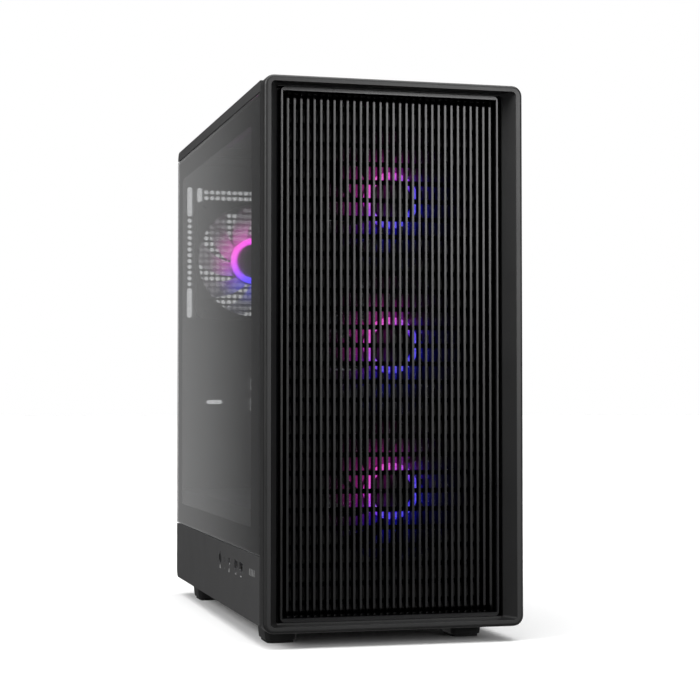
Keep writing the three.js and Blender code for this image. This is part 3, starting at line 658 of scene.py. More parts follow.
fin_x = first_line + FIN_PITCH
fin = add_block("fin", (fin_x - FIN_WIDTH / 2, GRILLE_FRONT, slot_bottom - 0.5),
                (fin_x + FIN_WIDTH / 2, 24, slot_top + 0.5))
lower_cut, upper_cut = slot_bottom + FIN_RAMP, slot_top - FIN_RAMP
for height in (lower_cut - 0.6, lower_cut, upper_cut, upper_cut + 0.6):
    open_faces(fin, lambda middle, normal: True)
    bpy.ops.mesh.bisect(plane_co=at(0, 0, height), plane_no=(0, 0, 1))
    close_edit()
select_only(fin)
for point in fin.data.vertices:
    place = in_case(point.co)
    ramp = min(1, max(0, min(place.z - slot_bottom, slot_top - place.z)) / FIN_RAMP)
    if place.y < 20:
        point.co.y += (FIN_RECESS + FIN_END_DEPTH * (1 - ramp)) * MM
    if ramp < 0.99:
        point.co.x = at(fin_x + (place.x - fin_x) * 0.5, 0, 0).x
soften(fin, 0.15, 2, 40)
row_of(fin, FIN_COUNT, x=FIN_PITCH)

border = add_block("border", (first_line - FIN_WIDTH / 2, GRILLE_FRONT, GRILLE_BOTTOM),
                   (WIDTH - first_line + FIN_WIDTH / 2, 24, GRILLE_TOP))
bevel(border, along(1), 4, 5)
punch(border, add_block("cutter", (first_line + FIN_WIDTH / 2, 0, slot_bottom),
                        (WIDTH - first_line - FIN_WIDTH / 2, 40, slot_top)))
soften(border, 0.35, 2, 40)
grille = weld("front_grille_fins", fin, border)
finish_piece(grille, fin_black_painted_shade, "front_cover", "black_plastic", "front_grille")
print("fins:", FIN_COUNT, "faces:", len(grille.data.polygons))

# %% [markdown]
# Level ribs cross behind the fins and tie them together. They show as dark bars wherever light
# comes through, so their pitch matters. One rib is repeated 28 times inside a thin frame.

# %% Rib frame
RIB_PITCH = 14.77
rib = add_block("rib", (22, 24.5, 19.1), (194, 26.7, 23.1))
soften(rib, 0.5, 2, 40)
row_of(rib, 28, z=RIB_PITCH)
rib_frame = add_block("rib_frame", (20.6, 24.4, 11.6), (195.4, 26.8, 429.4))
punch(rib_frame, add_block("cutter", (23.5, 20, 14.5), (192.5, 30, 426.5)))
soften(rib_frame, 0.4, 2, 40)
rib_frame = weld("grille_rib_frame", rib_frame, rib)
finish_piece(rib_frame, rib_black_painted_shade, "front_cover", "black_plastic", "front_rib_frame")
print("rib frame faces:", len(rib_frame.data.polygons))

# %% [markdown]
# A case fan's frame is a duct between two square flanges, with a screw post in each corner and four
# arms that hold the motor. It is cut rather than built up: a block with rounded corners loses its
# waist, gains four posts, and has the bore and the screw holes punched. It is made once, at the
# middle of the lower front fan, and copied to the others.

# %% Case fan frame
FAN_Z = (108.6, 228.6, 348.6)
FAN_X = 116
FAN_FRONT = 38.5
REAR_FAN = (78, 405.5, 327)
home = (FAN_X, FAN_FRONT, FAN_Z[0])
hx, hy, hz = home


def fan_box(x0, x1, y0, y1, z0, z1, name="block"):
    return add_block(name, (hx + x0, hy + y0, hz + z0), (hx + x1, hy + y1, hz + z1))


def fan_rod(x, z, y0, y1, radius, sides, name="rod"):
    return add_rod(name, (hx + x, hy + (y0 + y1) / 2, hz + z), radius, y1 - y0, "y", sides)


fan_frame = fan_box(-59.8, 59.8, 0, 25, -59.8, 59.8, "fan_frame")
bevel(fan_frame, along(1), 6.5, 5)
waist = fan_box(-70, 70, 4.2, 20.8, -70, 70)
punch(waist, fan_rod(0, 0, 0, 25, 59.3, 64))
punch(fan_frame, waist)
corners = [(x, z) for x in (-52.5, 52.5) for z in (-52.5, 52.5)]
posts = [fan_rod(x, z, 3, 22, 4.6, 16) for x, z in corners]
fan_frame = weld("fan_frame", fan_frame, *posts)
punch(fan_frame, fan_rod(0, 0, -1, 26, 57.5, 80))
punch(fan_frame, *[fan_rod(x, z, -1, 26, 2.2, 12) for x, z in corners])
soften(fan_frame, 0.4, 2, 50)
motor = fan_rod(0, 0, 22.2, 24.8, 20.5, 40)
arms = []
for turn in range(4):
    arm = fan_box(18, 58, 22.4, 24.6, -1.7, 1.7)
    arms.append(turned_copy(arm, "arm", home, "Y", math.radians(45 + 90 * turn)))
    bpy.data.objects.remove(arm, do_unlink=True)
motor = soften(weld("motor", motor, *arms), 0.3)
fan_frame = weld("fan_frame", fan_frame, motor)
print("fan frame faces:", len(fan_frame.data.polygons))

# %% [markdown]
# A blade is a curved, twisted strip. The root is a thin upright box on the hub. Its outer face is
# pulled out step by step, and each step is moved on, turned and widened, as a sculptor would draw
# out clay. Nine copies make the wheel.

# %% Fan blades
def make_wheel(name, middle, root, tip, blades, depth, chord, lean, steps=7):
    """A fan wheel about Y. middle is its front centre in case millimetres."""
    x, y, z = middle
    start = add_block(name, (x + root, y, z - 0.7), (x + root + 1, y + depth * 0.8, z + 0.7))
    open_faces(start, lambda place, normal: normal.y > 0.9)
    bpy.ops.transform.translate(value=Vector((0, 0, chord * 0.42)) * MM)
    close_edit()
    open_faces(start, lambda place, normal: normal.y < -0.9)
    bpy.ops.transform.translate(value=Vector((0, 0, -chord * 0.42)) * MM)
    close_edit()
    open_faces(start, lambda place, normal: normal.x > 0.9)
    step = (tip - root - 1) / steps
    for index in range(steps):
        bpy.ops.mesh.extrude_region_move(TRANSFORM_OT_translate={"value": Vector((step, 0, 0)) * MM})
        bpy.ops.transform.rotate(value=-lean / steps, orient_axis="Y", center_override=at(x, y, z))
        bpy.ops.transform.resize(value=(1, 0.985, 1.085), center_override=at(x, y + depth / 2, z))
    close_edit()
    soften(start, 0, 2)
    wheel = [turned_copy(start, "blade", middle, "Y", 2 * math.pi * index / blades)
             for index in range(blades)]
    bpy.data.objects.remove(start, do_unlink=True)
    wheel = weld(name, *wheel)
    return soften(wheel, 0)


blades = make_wheel("fan_blades", (hx, hy + 8.5, hz), 22.5, 55.2, 9, 12.5, 15, 0.55)
print("blade faces:", len(blades.data.polygons))
size_of_wheel = [round((max(c) - min(c)) / MM, 1) for c in zip(*[v.co[:] for v in blades.data.vertices])]
print("blade wheel size:", size_of_wheel)

# %% [markdown]
# The hub carries the fan's light. A milky ring sits between a smooth round cap and a wider drum, so
# the ring glows all round the cap. Cap, drum and ring are turned parts: short rods with their front
# edges rounded over.

# %% Fan hub and light ring
cap = fan_rod(0, 0, 1.5, 9, 17.1, 48)
bevel(cap, lambda a, b: abs(a.y - hy - 1.5) < 0.01 and abs(b.y - hy - 1.5) < 0.01, 1.2, 3)
inset(cap, lambda middle, normal: normal.y < -0.99 and middle.y < hy + 2, 2.4, 0.0)
inset(cap, lambda middle, normal: normal.y < -0.99 and (middle - Vector(home)).length < 8, 0.6, -0.25)
drum = fan_rod(0, 0, 8, 21, 23.4, 48)
bevel(drum, lambda a, b: abs(a.y - b.y) < 0.01, 0.8, 2)
hub = soften(weld("fan_hub", cap, drum), 0)

ring = fan_rod(0, 0, 2.2, 7.8, 23.2, 64)
punch(ring, fan_rod(0, 0, 0, 10, 17.6, 64))
soften(ring, 1.0, 3, 50)
print("hub faces:", len(hub.data.polygons), "ring faces:", len(ring.data.polygons))

# %% [markdown]
# All four case fans are the same fan. The rear one gets about four times the glow and light blades,
# painted light for the backdrop behind its guard. The front ones, seen through the fins, get dark
# blades as painted shade.

# %% Place the case fans
CASE_FANS = {
    "front_fan_lower": (FAN_X, FAN_FRONT, FAN_Z[0]),
    "front_fan_middle": (FAN_X, FAN_FRONT, FAN_Z[1]),
    "front_fan_upper": (FAN_X, FAN_FRONT, FAN_Z[2]),
    "rear_fan": REAR_FAN,
}
WHEEL_BODY = {"front_fan_lower": "lower_fan_wheel", "front_fan_middle": "middle_fan_wheel",
              "front_fan_upper": "upper_fan_wheel", "rear_fan": "rear_fan_wheel"}
# The rear fan's stronger glow and lighter blades are painted light; the front fans' dark blades are painted
# shade.
RING_STRENGTH = {"rear_fan": 3.0}
BLADE_STRENGTH = {"rear_fan": 1.5}
BLADE_PAINTED_LIGHT_TONE = {"rear_fan": (0.55, 0.54, 0.58)}
for fan, place in CASE_FANS.items():
    step = [there - here for here, there in zip(home, place)]
    centre = at(*place)
    body = WHEEL_BODY[fan]
    ring_light = make_lit(f"{fan}_ring_light", centre, (0.55, 0.5, 0.6),
                          RING_STRENGTH.get(fan, 0.7), 0.03, 0.05)
    blade_light = make_lit(f"{fan}_blade_light", centre, BLADE_PAINTED_LIGHT_TONE.get(fan, (0.05, 0.05, 0.055)),
                           BLADE_STRENGTH.get(fan, 0.32), 0.016, 0.047, alpha=0.42)
    finish_piece(copy_of(fan_frame, f"{fan}_duct", *step), fan_black, "chassis", "fan_frame_plastic",
                 f"{fan}_frame")
    finish_piece(copy_of(hub, f"{fan}_hub", *step), fan_black, body, "fan_frame_plastic", f"{fan}_rotor")
    finish_piece(copy_of(blades, f"{fan}_blades", *step), blade_light, body, "fan_blade_plastic",
                 f"{fan}_rotor")
    finish_piece(copy_of(ring, f"{fan}_lit_ring", *step), ring_light, body, "light_ring", f"{fan}_light_ring")
print("case fans:", list(CASE_FANS))

# %% [markdown]
# The glass door is a flat pane with ground edges. On its inner face a black print hides the chassis
# edges, and leaves a clear window. The print is a thin sheet with the window punched out, and the
# ball studs that hold the door stand on it. It reaches a little way into the glass, so that the
# pane's inner face mirrors nothing there, and the border looks darker than the window.

# %% Glass door
pane = add_block("glass_pane", (0.2, 16.5, 59.8), (4.2, 434.4, 428.9))
soften(pane, 0.6, 2, 40)
finish_piece(pane, tinted_glass, "glass_door", "tinted_glass", "glass_panel")
border_sheet = add_block("glass_printed_border", (4.0, 18, 61.3), (5.5, 429.8, 426.4))
window = add_block("window", (0, 55, 80), (10, 407, 408.5))
bevel(window, along(0), 4, 5)
punch(border_sheet, window)
studs = []
for y, z in ((46, 418), (74, 70), (418, 70), (418, 418)):
    stud = add_rod("stud", (9, y, z), 2.4, 8, "x", 20)
    bevel(stud, lambda a, b: abs(a.x - 13) < 0.05 and abs(b.x - 13) < 0.05, 1.6, 4)
    studs.append(stud)
border_sheet = soften(weld("glass_printed_border", border_sheet, *studs), 0)
finish_piece(border_sheet, printed_black, "glass_door", "black_plastic", "glass_mount_frame")
print("window faces:", len(border_sheet.data.polygons))

# %% [markdown]
# Below the glass a steel strip carries the front connections: a power button, a reset button, an
# audio jack and two USB sockets. Its lower rear corner is rounded. The openings are punched, each
# with its own cutter.

# %% Steel strip
skirt = add_block("side_strip", (0.2, 16.5, 4.4), (2.6, 434.4, 59))
bevel(skirt, along(0, (434.4, 4.4)), 8, 6)
USB_Y = (93.7, 116)
USB_Z = 44.4
AUDIO = (146, 44)
POWER = (188.6, 44.6)
RESET = (167.7, 44)
cutters = []
for y in USB_Y:
    slot = add_block("slot", (-2, y - 7.4, USB_Z - 3.8), (6, y + 7.4, USB_Z + 3.8))
    bevel(slot, along(0), 1.2, 3)
    cutters.append(slot)
cutters += [
    add_rod("hole", (0, AUDIO[0], AUDIO[1]), 3.6, 12, "x", 32),
    add_rod("hole", (0, POWER[0], POWER[1]), 5.1, 12, "x", 40),
    add_rod("hole", (0, RESET[0], RESET[1]), 2.2, 12, "x", 24),
]
punch(skirt, *cutters)
soften(skirt, 0.35, 2, 40)
lip = add_block("lip", (0.3, 17, 4.45), (5.5, 420, 4.8))
skirt = weld("side_strip", skirt, lip)
finish_piece(skirt, coated_steel, "chassis", "black_steel", "left_skirt")
print("strip faces:", len(skirt.data.polygons))

# %% [markdown]
# Each socket is a bent metal shell round a plastic tongue with gilt contacts. The buttons are
# shallow plastic caps. The power button has a ring moulded round its face.

# %% Sockets and buttons
for number, (y, node) in enumerate(zip(USB_Y, ("usb_socket_front", "usb_socket_rear"))):
    shell = add_block(f"{node}_shell", (0.9, y - 7, USB_Z - 3.5), (13.9, y + 7, USB_Z + 3.5))
    bevel(shell, along(0), 0.8, 3)
    punch(shell, add_block("mouth", (0, y - 6.4, USB_Z - 2.9), (12.4, y + 6.4, USB_Z + 2.9)))
    soften(shell, 0.15, 2, 40)
    finish_piece(shell, plated_metal, "chassis", "socket_metal", node)
    tongue = add_block(f"{node}_tongue", (1.6, y - 5.6, USB_Z + 0.1), (13, y + 5.6, USB_Z + 1.9))
    soften(tongue, 0.3)
    finish_piece(tongue, socket_plastic, "chassis", "black_plastic")
    contact = add_block(f"{node}_contacts", (2.2, y - 4.3, USB_Z - 0.15), (9, y - 3.3, USB_Z + 0.15))
    soften(contact, 0.05, 1)
    row_of(contact, 4, y=2.5)
    finish_piece(contact, gilt, "chassis", "socket_metal")

jack = add_rod("audio_jack_collar", (4, AUDIO[0], AUDIO[1]), 3.3, 6, "x", 32)
punch(jack, add_rod("bore", (4, AUDIO[0], AUDIO[1]), 1.8, 12, "x", 24))
soften(jack, 0.3)
jack_body = add_block("jack_body", (4.5, AUDIO[0] - 4.4, AUDIO[1] - 3.9),
                      (13.8, AUDIO[0] + 4.4, AUDIO[1] + 3.9))
punch(jack_body, add_rod("bore", (6, AUDIO[0], AUDIO[1]), 1.8, 12, "x", 24))
jack = weld("audio_jack_socket", jack, soften(jack_body, 0.3))
finish_piece(jack, socket_plastic, "chassis", "black_plastic", "audio_jack")
jack_ring = add_rod("audio_jack_ring", (1.2, AUDIO[0], AUDIO[1]), 2.5, 0.9, "x", 32)
punch(jack_ring, add_rod("bore", (1, AUDIO[0], AUDIO[1]), 1.8, 6, "x", 32))
soften(jack_ring, 0.15)
finish_piece(jack_ring, plated_metal, "chassis", "socket_metal")


def make_button(name, y, z, radius, body, node, ringed):
    button = add_rod(name, (2.1, y, z), radius, 4, "x", 40)
    bevel(button, lambda a, b: a.x < 0.2 and b.x < 0.2, 0.4, 3)
    if ringed:
        inset(button, lambda middle, normal: normal.x < -0.9, 1.0, 0.0)
        inset(button,
              lambda middle, normal: normal.x < -0.9 and (middle.y - y) ** 2 + (middle.z - z) ** 2 < 1,
              0.3, -0.35)
    collar = add_rod("collar", (3.7, y, z), radius + 1.4, 1.1, "x", 24)
    button = soften(weld(name, button, soften(collar, 0.2)), 0)
    return finish_piece(button, socket_plastic, body, "black_plastic", node)


make_button("power_button_cap", *POWER, 4.8, "power_key", "power_button", True)
make_button("reset_button_cap", *RESET, 1.9, "reset_key", "reset_button", False)
print("sockets and buttons at y =", USB_Y, AUDIO[0], POWER[0], RESET[0])

# %% [markdown]
# Small pale marks are printed under the connections. They are plain shapes that say which is which:
# a ring and bar for power, a dot for reset, two bars for sound and a row of dots for each socket.
# A plain row of slanted bars nearer the front stands where a maker would put a name.

# %% Printed marks
def print_mark(name, y0, y1, z0, z1, corner=0.3, slant=0.0):
    mark = add_block(name, (0.13, y0, z0), (0.19, y1, z1))
    bevel(mark, along(0), corner, 3)
    if slant:
        open_edges(mark, lambda a, b: min(a.z, b.z) > (z0 + z1) / 2)
        bpy.ops.transform.translate(value=Vector((0, -slant, 0)) * MM)
        close_edit()
    return mark


mark_z = 36.6
power_ring = add_rod("ring", (0.16, POWER[0], mark_z), 1.7, 0.06, "x", 32)
punch(power_ring, add_rod("bore", (0.16, POWER[0], mark_z), 1.15, 2, "x", 32))
punch(power_ring, add_block("gap", (0, POWER[0] - 0.8, mark_z), (1, POWER[0] + 0.8, mark_z + 3)))
marks = [power_ring, print_mark("bar", POWER[0] - 0.25, POWER[0] + 0.25, mark_z + 0.2, mark_z + 2.1, 0.1)]
marks.append(print_mark("dot", RESET[0] - 0.5, RESET[0] + 0.5, mark_z - 0.3, mark_z + 0.7, 0.4))
marks += [print_mark("bar", AUDIO[0] + y - 0.35, AUDIO[0] + y + 0.35, mark_z - 1.4, mark_z + 1.6, 0.2)
          for y in (-0.9, 0.9)]
marks += [print_mark("dot", y + step - 0.6, y + step + 0.6, mark_z - 0.6, mark_z + 0.6, 0.45)
          for y in USB_Y for step in (-1.8, 0, 1.8)]
marks += [print_mark("bar", y, y + 1.2, 41.2, 46.8, 0.3, slant=1.5) for y in (38, 44, 50, 56)]
printed = weld("printed_marks", *marks)
finish_piece(printed, pale_print, "chassis", "black_steel")
print("marks:", len(marks))

# %% [markdown]
# The top cover wraps over the roof and ends in a rounded rear edge. A dust filter lies in a shallow
# seat over a wide opening. Its mesh is woven nylon: thin threads both ways, one modelled and
# repeated each way.

# %% Top cover and dust filter
cover = add_block("top_cover", (0.2, 16.5, 429.9), (215.8, 434.4, 438.6))
bevel(cover, along(0, (434.4, 438.6)), 8, 6)
hollow = add_block("hollow", (2.8, 10, 420), (213.2, 429, 436))
rear_notch = add_block("notch", (4.2, 428, 420), (211.8, 432.6, 434.6))
filter_seat = add_block("seat", (26, 56, 437), (190, 384, 445))
bevel(filter_seat, along(2), 5, 4)
opening = add_block("opening", (34, 66, 430), (182, 374, 445))
bevel(opening, along(2), 6, 4)
punch(cover, hollow)
punch(cover, rear_notch)
punch(cover, filter_seat)
punch(cover, opening)
soften(cover, 0.35, 2, 40)
finish_piece(cover, coated_steel, "chassis", "black_steel", "top_panel")

filter_frame = add_block("filter_frame", (26.4, 56.4, 437.3), (189.6, 383.6, 438.5))
bevel(filter_frame, along(2), 4.6, 4)
for number in range(3):
    front = 66 + number * 104.667
    punch(filter_frame, add_block("window", (36, front, 430), (180, front + 98.667, 445)))
soften(filter_frame, 0.25, 2, 40)
THREAD_PITCH = 1.2
THREAD = 0.45
warp = add_block("warp", (36, 66, 437.7), (36 + THREAD, 374, 438.0))
row_of(warp, 120, x=THREAD_PITCH)
weft = add_block("weft", (36, 66, 437.9), (180, 66 + THREAD, 438.2))
row_of(weft, 256, y=THREAD_PITCH)
dust_filter = weld("top_dust_filter", filter_frame, warp, weft)
finish_piece(dust_filter, filter_nylon, "roof_filter", "black_plastic", "top_filter")
print("filter faces:", len(dust_filter.data.polygons))

# %% [markdown]
# The far side is closed by a plain folded steel panel. It is a block with its inside punched out
# and its lower rear corner rounded like the near side's.

# %% Right panel
far_side = add_block("right_side_panel", (211.7, 16.5, 4.4), (215.8, 434.4, 428.9))
bevel(far_side, along(0, (434.4, 4.4)), 8, 6)
punch(far_side, add_block("hollow", (200, 17.7, 5.6), (214.6, 440, 427.7)))
soften(far_side, 0.35, 2, 40)
finish_piece(far_side, coated_steel, "right_cover", "black_steel", "right_panel")
print("right panel faces:", len(far_side.data.polygons))

# %% [markdown]
# Four tapered blocks carry the case, each with a softer pad let into its sole. The pad has shallow
# grooves, so it grips.

# %% Feet
foot = add_block("foot", (9, 38, -10.2), (37, 74, 4.7))
bevel(foot, along(2), 5, 5)
open_faces(foot, lambda middle, normal: normal.z < -0.9)
bpy.ops.transform.resize(value=(1 - 3 / 28, 1 - 3 / 36, 1), center_override=at(23, 56, 0))
close_edit()
soften(foot, 0.7, 3, 40)
pad = add_block("pad", (12, 41, -12.5), (34, 71, -10.3))
bevel(pad, along(2), 4, 5)
grooves = [add_block("groove", (10, y, -13), (36, y + 1.2, -12)) for y in (48, 55.4, 62.8)]
punch(pad, *grooves)
soften(pad, 0.3, 2, 40)
for side, x in (("left", 23), ("right", 180)):
    for end, y in (("front", 56), ("rear", 373)):
        name = f"{end}_{side}"
        finish_piece(copy_of(foot, f"foot_block_{name}", x - 23, y - 56), moulded_black, "chassis",
                     "black_plastic", f"foot_{name}")
        finish_piece(copy_of(pad, f"foot_sole_{name}", x - 23, y - 56), soft_rubber, "chassis",
                     "foot_rubber", f"foot_pad_{name}")
print("feet:", 4)

# %% [markdown]
# The rear wall is one pressed sheet. It has the fan's opening, the slots of the expansion cards, a
# window for the motherboard's sockets and one for the power supply. Round the fan the sheet is
# perforated with rows of small round holes, and the same rows run across the fan as its guard.

# %% Rear panel
REAR = 430.8
DOT_PITCH = 5.95
DOT_RADIUS = 2.25


def add_dots(places):
    dots = []
    pattern = add_rod("dot", (0, REAR + 0.6, 0), DOT_RADIUS, 6, "y", 10)
    for x, z in places:
        dots.append(copy_of(pattern, "dot", x, 0, z))
    bpy.data.objects.remove(pattern, do_unlink=True)
    return weld("dots", *dots)


sheet = add_block("rear_sheet", (4.6, REAR, 4.4), (211.4, REAR + 1.2, 435.6))
bevel(sheet, along(1), 5, 5)
cutters = [
    add_rod("bore", (REAR_FAN[0], REAR, REAR_FAN[2]), 57.5, 10, "y", 96),
    add_block("socket_window", (140, REAR - 5, 245), (184.5, REAR + 5, 403.7)),
    add_block("supply_window", (32, REAR - 5, 10.8), (174, REAR + 5, 88.8)),
]
cable_slot = add_block("slot", (33.4, REAR - 5, 180.5), (49.4, REAR + 5, 184.6))
bevel(cable_slot, along(1), 2, 4)
cutters.append(cable_slot)
for x, z, height in ((15.3, 373.5, 30.5), (15.3, 269, 30.7), (25.6, 388, 15.5)):
    air_slot = add_block("slot", (x - 2.6, REAR - 5, z), (x + 2.6, REAR + 5, z + height))
    bevel(air_slot, along(1), 2.5, 4)
    cutters.append(air_slot)
column = [(15.3, 369.2 - DOT_PITCH * row) for row in range(12)]
above = [(32.7 + 5.92 * step, 399 - DOT_PITCH * row) for step in range(16) for row in range(2)]
cutters.append(add_dots(column + above))
punch(sheet, *cutters)
card_slot = add_block("card_slot", (80, REAR - 5, 113), (180, REAR + 5, 125.7))
punch(sheet, row_of(card_slot, 7, z=20.32))
soften(sheet, 0, 2)
print("rear sheet faces:", len(sheet.data.polygons))

guard = add_rod("fan_guard", (REAR_FAN[0], REAR + 0.6, REAR_FAN[2]), 57.4, 1.2, "y", 96)
lattice = [(32.7 + 5.92 * (step - 3), 399 - DOT_PITCH * row) for step in range(24) for row in range(1, 24)]
inside = [(x, z) for x, z in lattice if math.hypot(x - REAR_FAN[0], z - REAR_FAN[2]) < 54.6]
punch(guard, add_dots(inside))
sheet = weld("rear_perforated_sheet", sheet, soften(guard, 0))
finish_piece(sheet, inner_steel_painted_shade, "chassis", "black_steel", "rear_panel")
print("rear holes:", len(column) + len(above) + len(inside), "faces:", len(sheet.data.polygons))

# %% [markdown]
# The chassis inside is folded sheet: a front plate, a floor, a roof, the motherboard tray and the
# cover over the power supply. Their CAD nodes are right as they are, but a real folded sheet has no
# razor edges. So each node is copied, its triangles are merged into flat faces, and its edges are
# rounded a little.

# %% Rounded copies of CAD nodes
def refined(node, name, width=0.3):
    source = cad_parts[node]
    piece = bpy.data.objects.new(name, source.data.copy())
    piece.data.name = name
    bpy.context.scene.collection.objects.link(piece)
    select_only(piece)
    bpy.ops.object.mode_set(mode="EDIT")
    bpy.ops.mesh.select_all(action="SELECT")
    bpy.ops.mesh.remove_doubles(threshold=0.00001)
    bpy.ops.mesh.dissolve_limited(angle_limit=math.radians(1))
    bpy.ops.object.mode_set(mode="OBJECT")
    return soften(piece, width, 2, 50)


INNER_SHEETS = {
    "chassis_front_plate": ("front_fan_wall", "chassis"),
    "floor_pan": ("floor_sheet", "chassis"),
    "roof_plate": ("roof_sheet", "chassis"),
    "motherboard_tray": ("board_tray_sheet", "chassis"),
    "power_supply_cover": ("supply_cover_sheet", "chassis"),
    "drive_bracket": ("drive_bracket_sheet", "chassis"),
    "slot_covers": ("slot_cover_blades", "chassis"),
}
for node, (name, body) in INNER_SHEETS.items():
    piece = finish_piece(refined(node, name, 0.25), inner_steel_painted_shade, body, "black_steel", node)
    print(name, len(piece.data.polygons))

# %% [markdown]
# Through the glass one sees the motherboard. It is a dark board with finned coolers along two
# edges, a row of memory slots, long slots for cards, and many small parts. Each kind of part is
# modelled once and repeated.

# %% Motherboard
BOARD_X = 183.6
board = add_block("board_sheet", (BOARD_X, 184, 104), (BOARD_X + 1.6, 428, 409))
punch(board, *[add_rod("hole", (BOARD_X, y, z), 1.9, 8, "x", 12)
               for y in (194, 272, 418) for z in (112, 256, 400)])
soften(board, 0.15, 1)
finish_piece(board, solder_mask, "chassis", "circuit_board", "motherboard")


def finned_block(name, low, high, groove_axis, pitch, groove, depth):
    """A cooler: a block with grooves cut in its inner face."""
    piece = add_block(name, low, high)
    soften(piece, 0.8, 2)
    index = {"y": 1, "z": 2}[groove_axis]
    count = int((high[index] - low[index] - pitch) / pitch)
    first = list(low)
    last = list(high)
    first[0], last[0] = low[0] - 1, low[0] + depth
    for other in (1, 2):
        if other != index:
            first[other], last[other] = low[other] + 3, high[other] - 3
    first[index] = low[index] + pitch
    last[index] = first[index] + groove
    cutter = row_of(add_block("groove", first, last), count, **{groove_axis: pitch})
    punch(piece, cutter)
    return soften(piece, 0)


coolers = [
    finned_block("regulator_cooler_rear", (BOARD_X - 22, 384, 300), (BOARD_X - 0.3, 402, 396),
                 "z", 6, 2.5, 9),
    finned_block("regulator_cooler_top", (BOARD_X - 20, 292, 389), (BOARD_X - 0.3, 378, 404), "y", 6, 2.5, 8),
    finned_block("chipset_cooler", (BOARD_X - 7, 204, 118), (BOARD_X - 0.3, 250, 160), "z", 8, 2, 2),
    finned_block("drive_cooler", (BOARD_X - 6, 300, 222), (BOARD_X - 0.3, 384, 246), "y", 7, 2, 2),
]
for piece in coolers:
    finish_piece(piece, dark_shell, "chassis", "device_shell")

card_slot = add_block("card_slot_long", (BOARD_X - 11, 296, 211.4), (BOARD_X - 0.2, 386, 218.6))
punch(card_slot, add_block("groove", (160, 300, 214.2), (BOARD_X - 4, 382, 215.8)))
soften(card_slot, 0.4)
lower_slot = copy_of(card_slot, "card_slot_lower", z=-81)
short_slot = copy_of(card_slot, "card_slot_short", z=-60.7)
memory_slot = add_block("memory_slot", (BOARD_X - 8, 242, 256), (BOARD_X - 0.2, 248, 395))
punch(memory_slot, add_block("groove", (160, 243.6, 259), (BOARD_X - 3, 246.4, 392)))
soften(memory_slot, 0.4)
row_of(memory_slot, 4, y=9)
power_header = add_block("power_header", (BOARD_X - 12, 186, 240), (BOARD_X - 0.2, 196, 292))
cell = add_block("cell", (160, 187.4, 241.6), (BOARD_X - 3, 190.4, 244.8))
row_of(cell, 12, z=4.2)
punch(power_header, row_of(cell, 2, y=4.2))
soften(power_header, 0.3)
connectors = weld("board_connectors", card_slot, lower_slot, short_slot, memory_slot, power_header)
finish_piece(connectors, socket_plastic, "chassis", "circuit_board")

can = add_rod("capacitor", (BOARD_X - 5.2, 292, 286), 3, 10, "x", 16)
bevel(can, lambda a, b: max(a.x, b.x) < BOARD_X - 9, 0.6, 2)
inset(can, lambda middle, normal: normal.x < -0.9, 0.5, -0.15)
soften(can, 0)
cans = [copy_of(can, "can", 0, y, z) for y, z in
        [(7.5 * step, 0) for step in range(8)] + [(-86 + 8 * step, -118) for step in range(5)] +
        [(-92, -20 + 8 * step) for step in range(4)] + [(84, -34 + 8 * step) for step in range(3)]]
bpy.data.objects.remove(can, do_unlink=True)
capacitors = weld("board_capacitors", *cans)
finish_piece(capacitors, satin_metal, "chassis", "circuit_board")

choke = add_block("choke", (BOARD_X - 6, 374.5, 304), (BOARD_X - 0.3, 381.5, 311))
soften(choke, 0.8, 2)
row_of(choke, 9, z=9.4)
chip = add_block("chip", (BOARD_X - 1.6, 214, 180), (BOARD_X - 0.3, 224, 190))
soften(chip, 0.25, 1)
row_of(chip, 3, y=22)
small = add_block("small_part", (BOARD_X - 1.2, 206, 166), (BOARD_X - 0.3, 208.6, 167.6))
soften(small, 0.1, 1)
row_of(small, 18, y=4.7)
row_of(small, 3, z=24)
small_parts = weld("board_small_parts", choke, chip, small)
finish_piece(small_parts, dark_shell, "chassis", "circuit_board")
print("board parts:", 4 + len(cans))

# %% [markdown]
# The board's own sockets look out of the rear window. A thin plate closes the window round them.
# The sockets are metal boxes with dark mouths, in the usual order: sound at the bottom, then USB
# and network, then pictures.

# %% Rear sockets
block_of_sockets = add_block("socket_block", (149, 404, 253), (BOARD_X - 0.2, 427.6, 399))
soften(block_of_sockets, 1.5, 3)
finish_piece(block_of_sockets, dark_shell, "chassis", "circuit_board")
plate = add_block("socket_plate_sheet", (140.4, 430.9, 245.4), (184.1, 431.7, 403.3))
mouths, shells, tongues = [], [], []


def rear_socket(x, z, width, height, tongue=True):
    mouths.append(add_block("mouth", (x - width / 2 - 0.2, 420, z - height / 2 - 0.2),
                            (x + width / 2 + 0.2, 436, z + height / 2 + 0.2)))
    shell = add_block("shell", (x - width / 2, 418, z - height / 2), (x + width / 2, 432.6, z + height / 2))
    bevel(shell, along(1), 0.6, 2)
    punch(shell, add_block("mouth", (x - width / 2 + 0.7, 420, z - height / 2 + 0.7),
                           (x + width / 2 - 0.7, 440, z + height / 2 - 0.7)))
    shells.append(shell)
    if tongue:
        middle = add_block("tongue", (x - width * 0.32, 419, z - height * 0.12),
                           (x + width * 0.32, 431, z + height * 0.12))
        tongues.append(soften(middle, 0.2, 1))


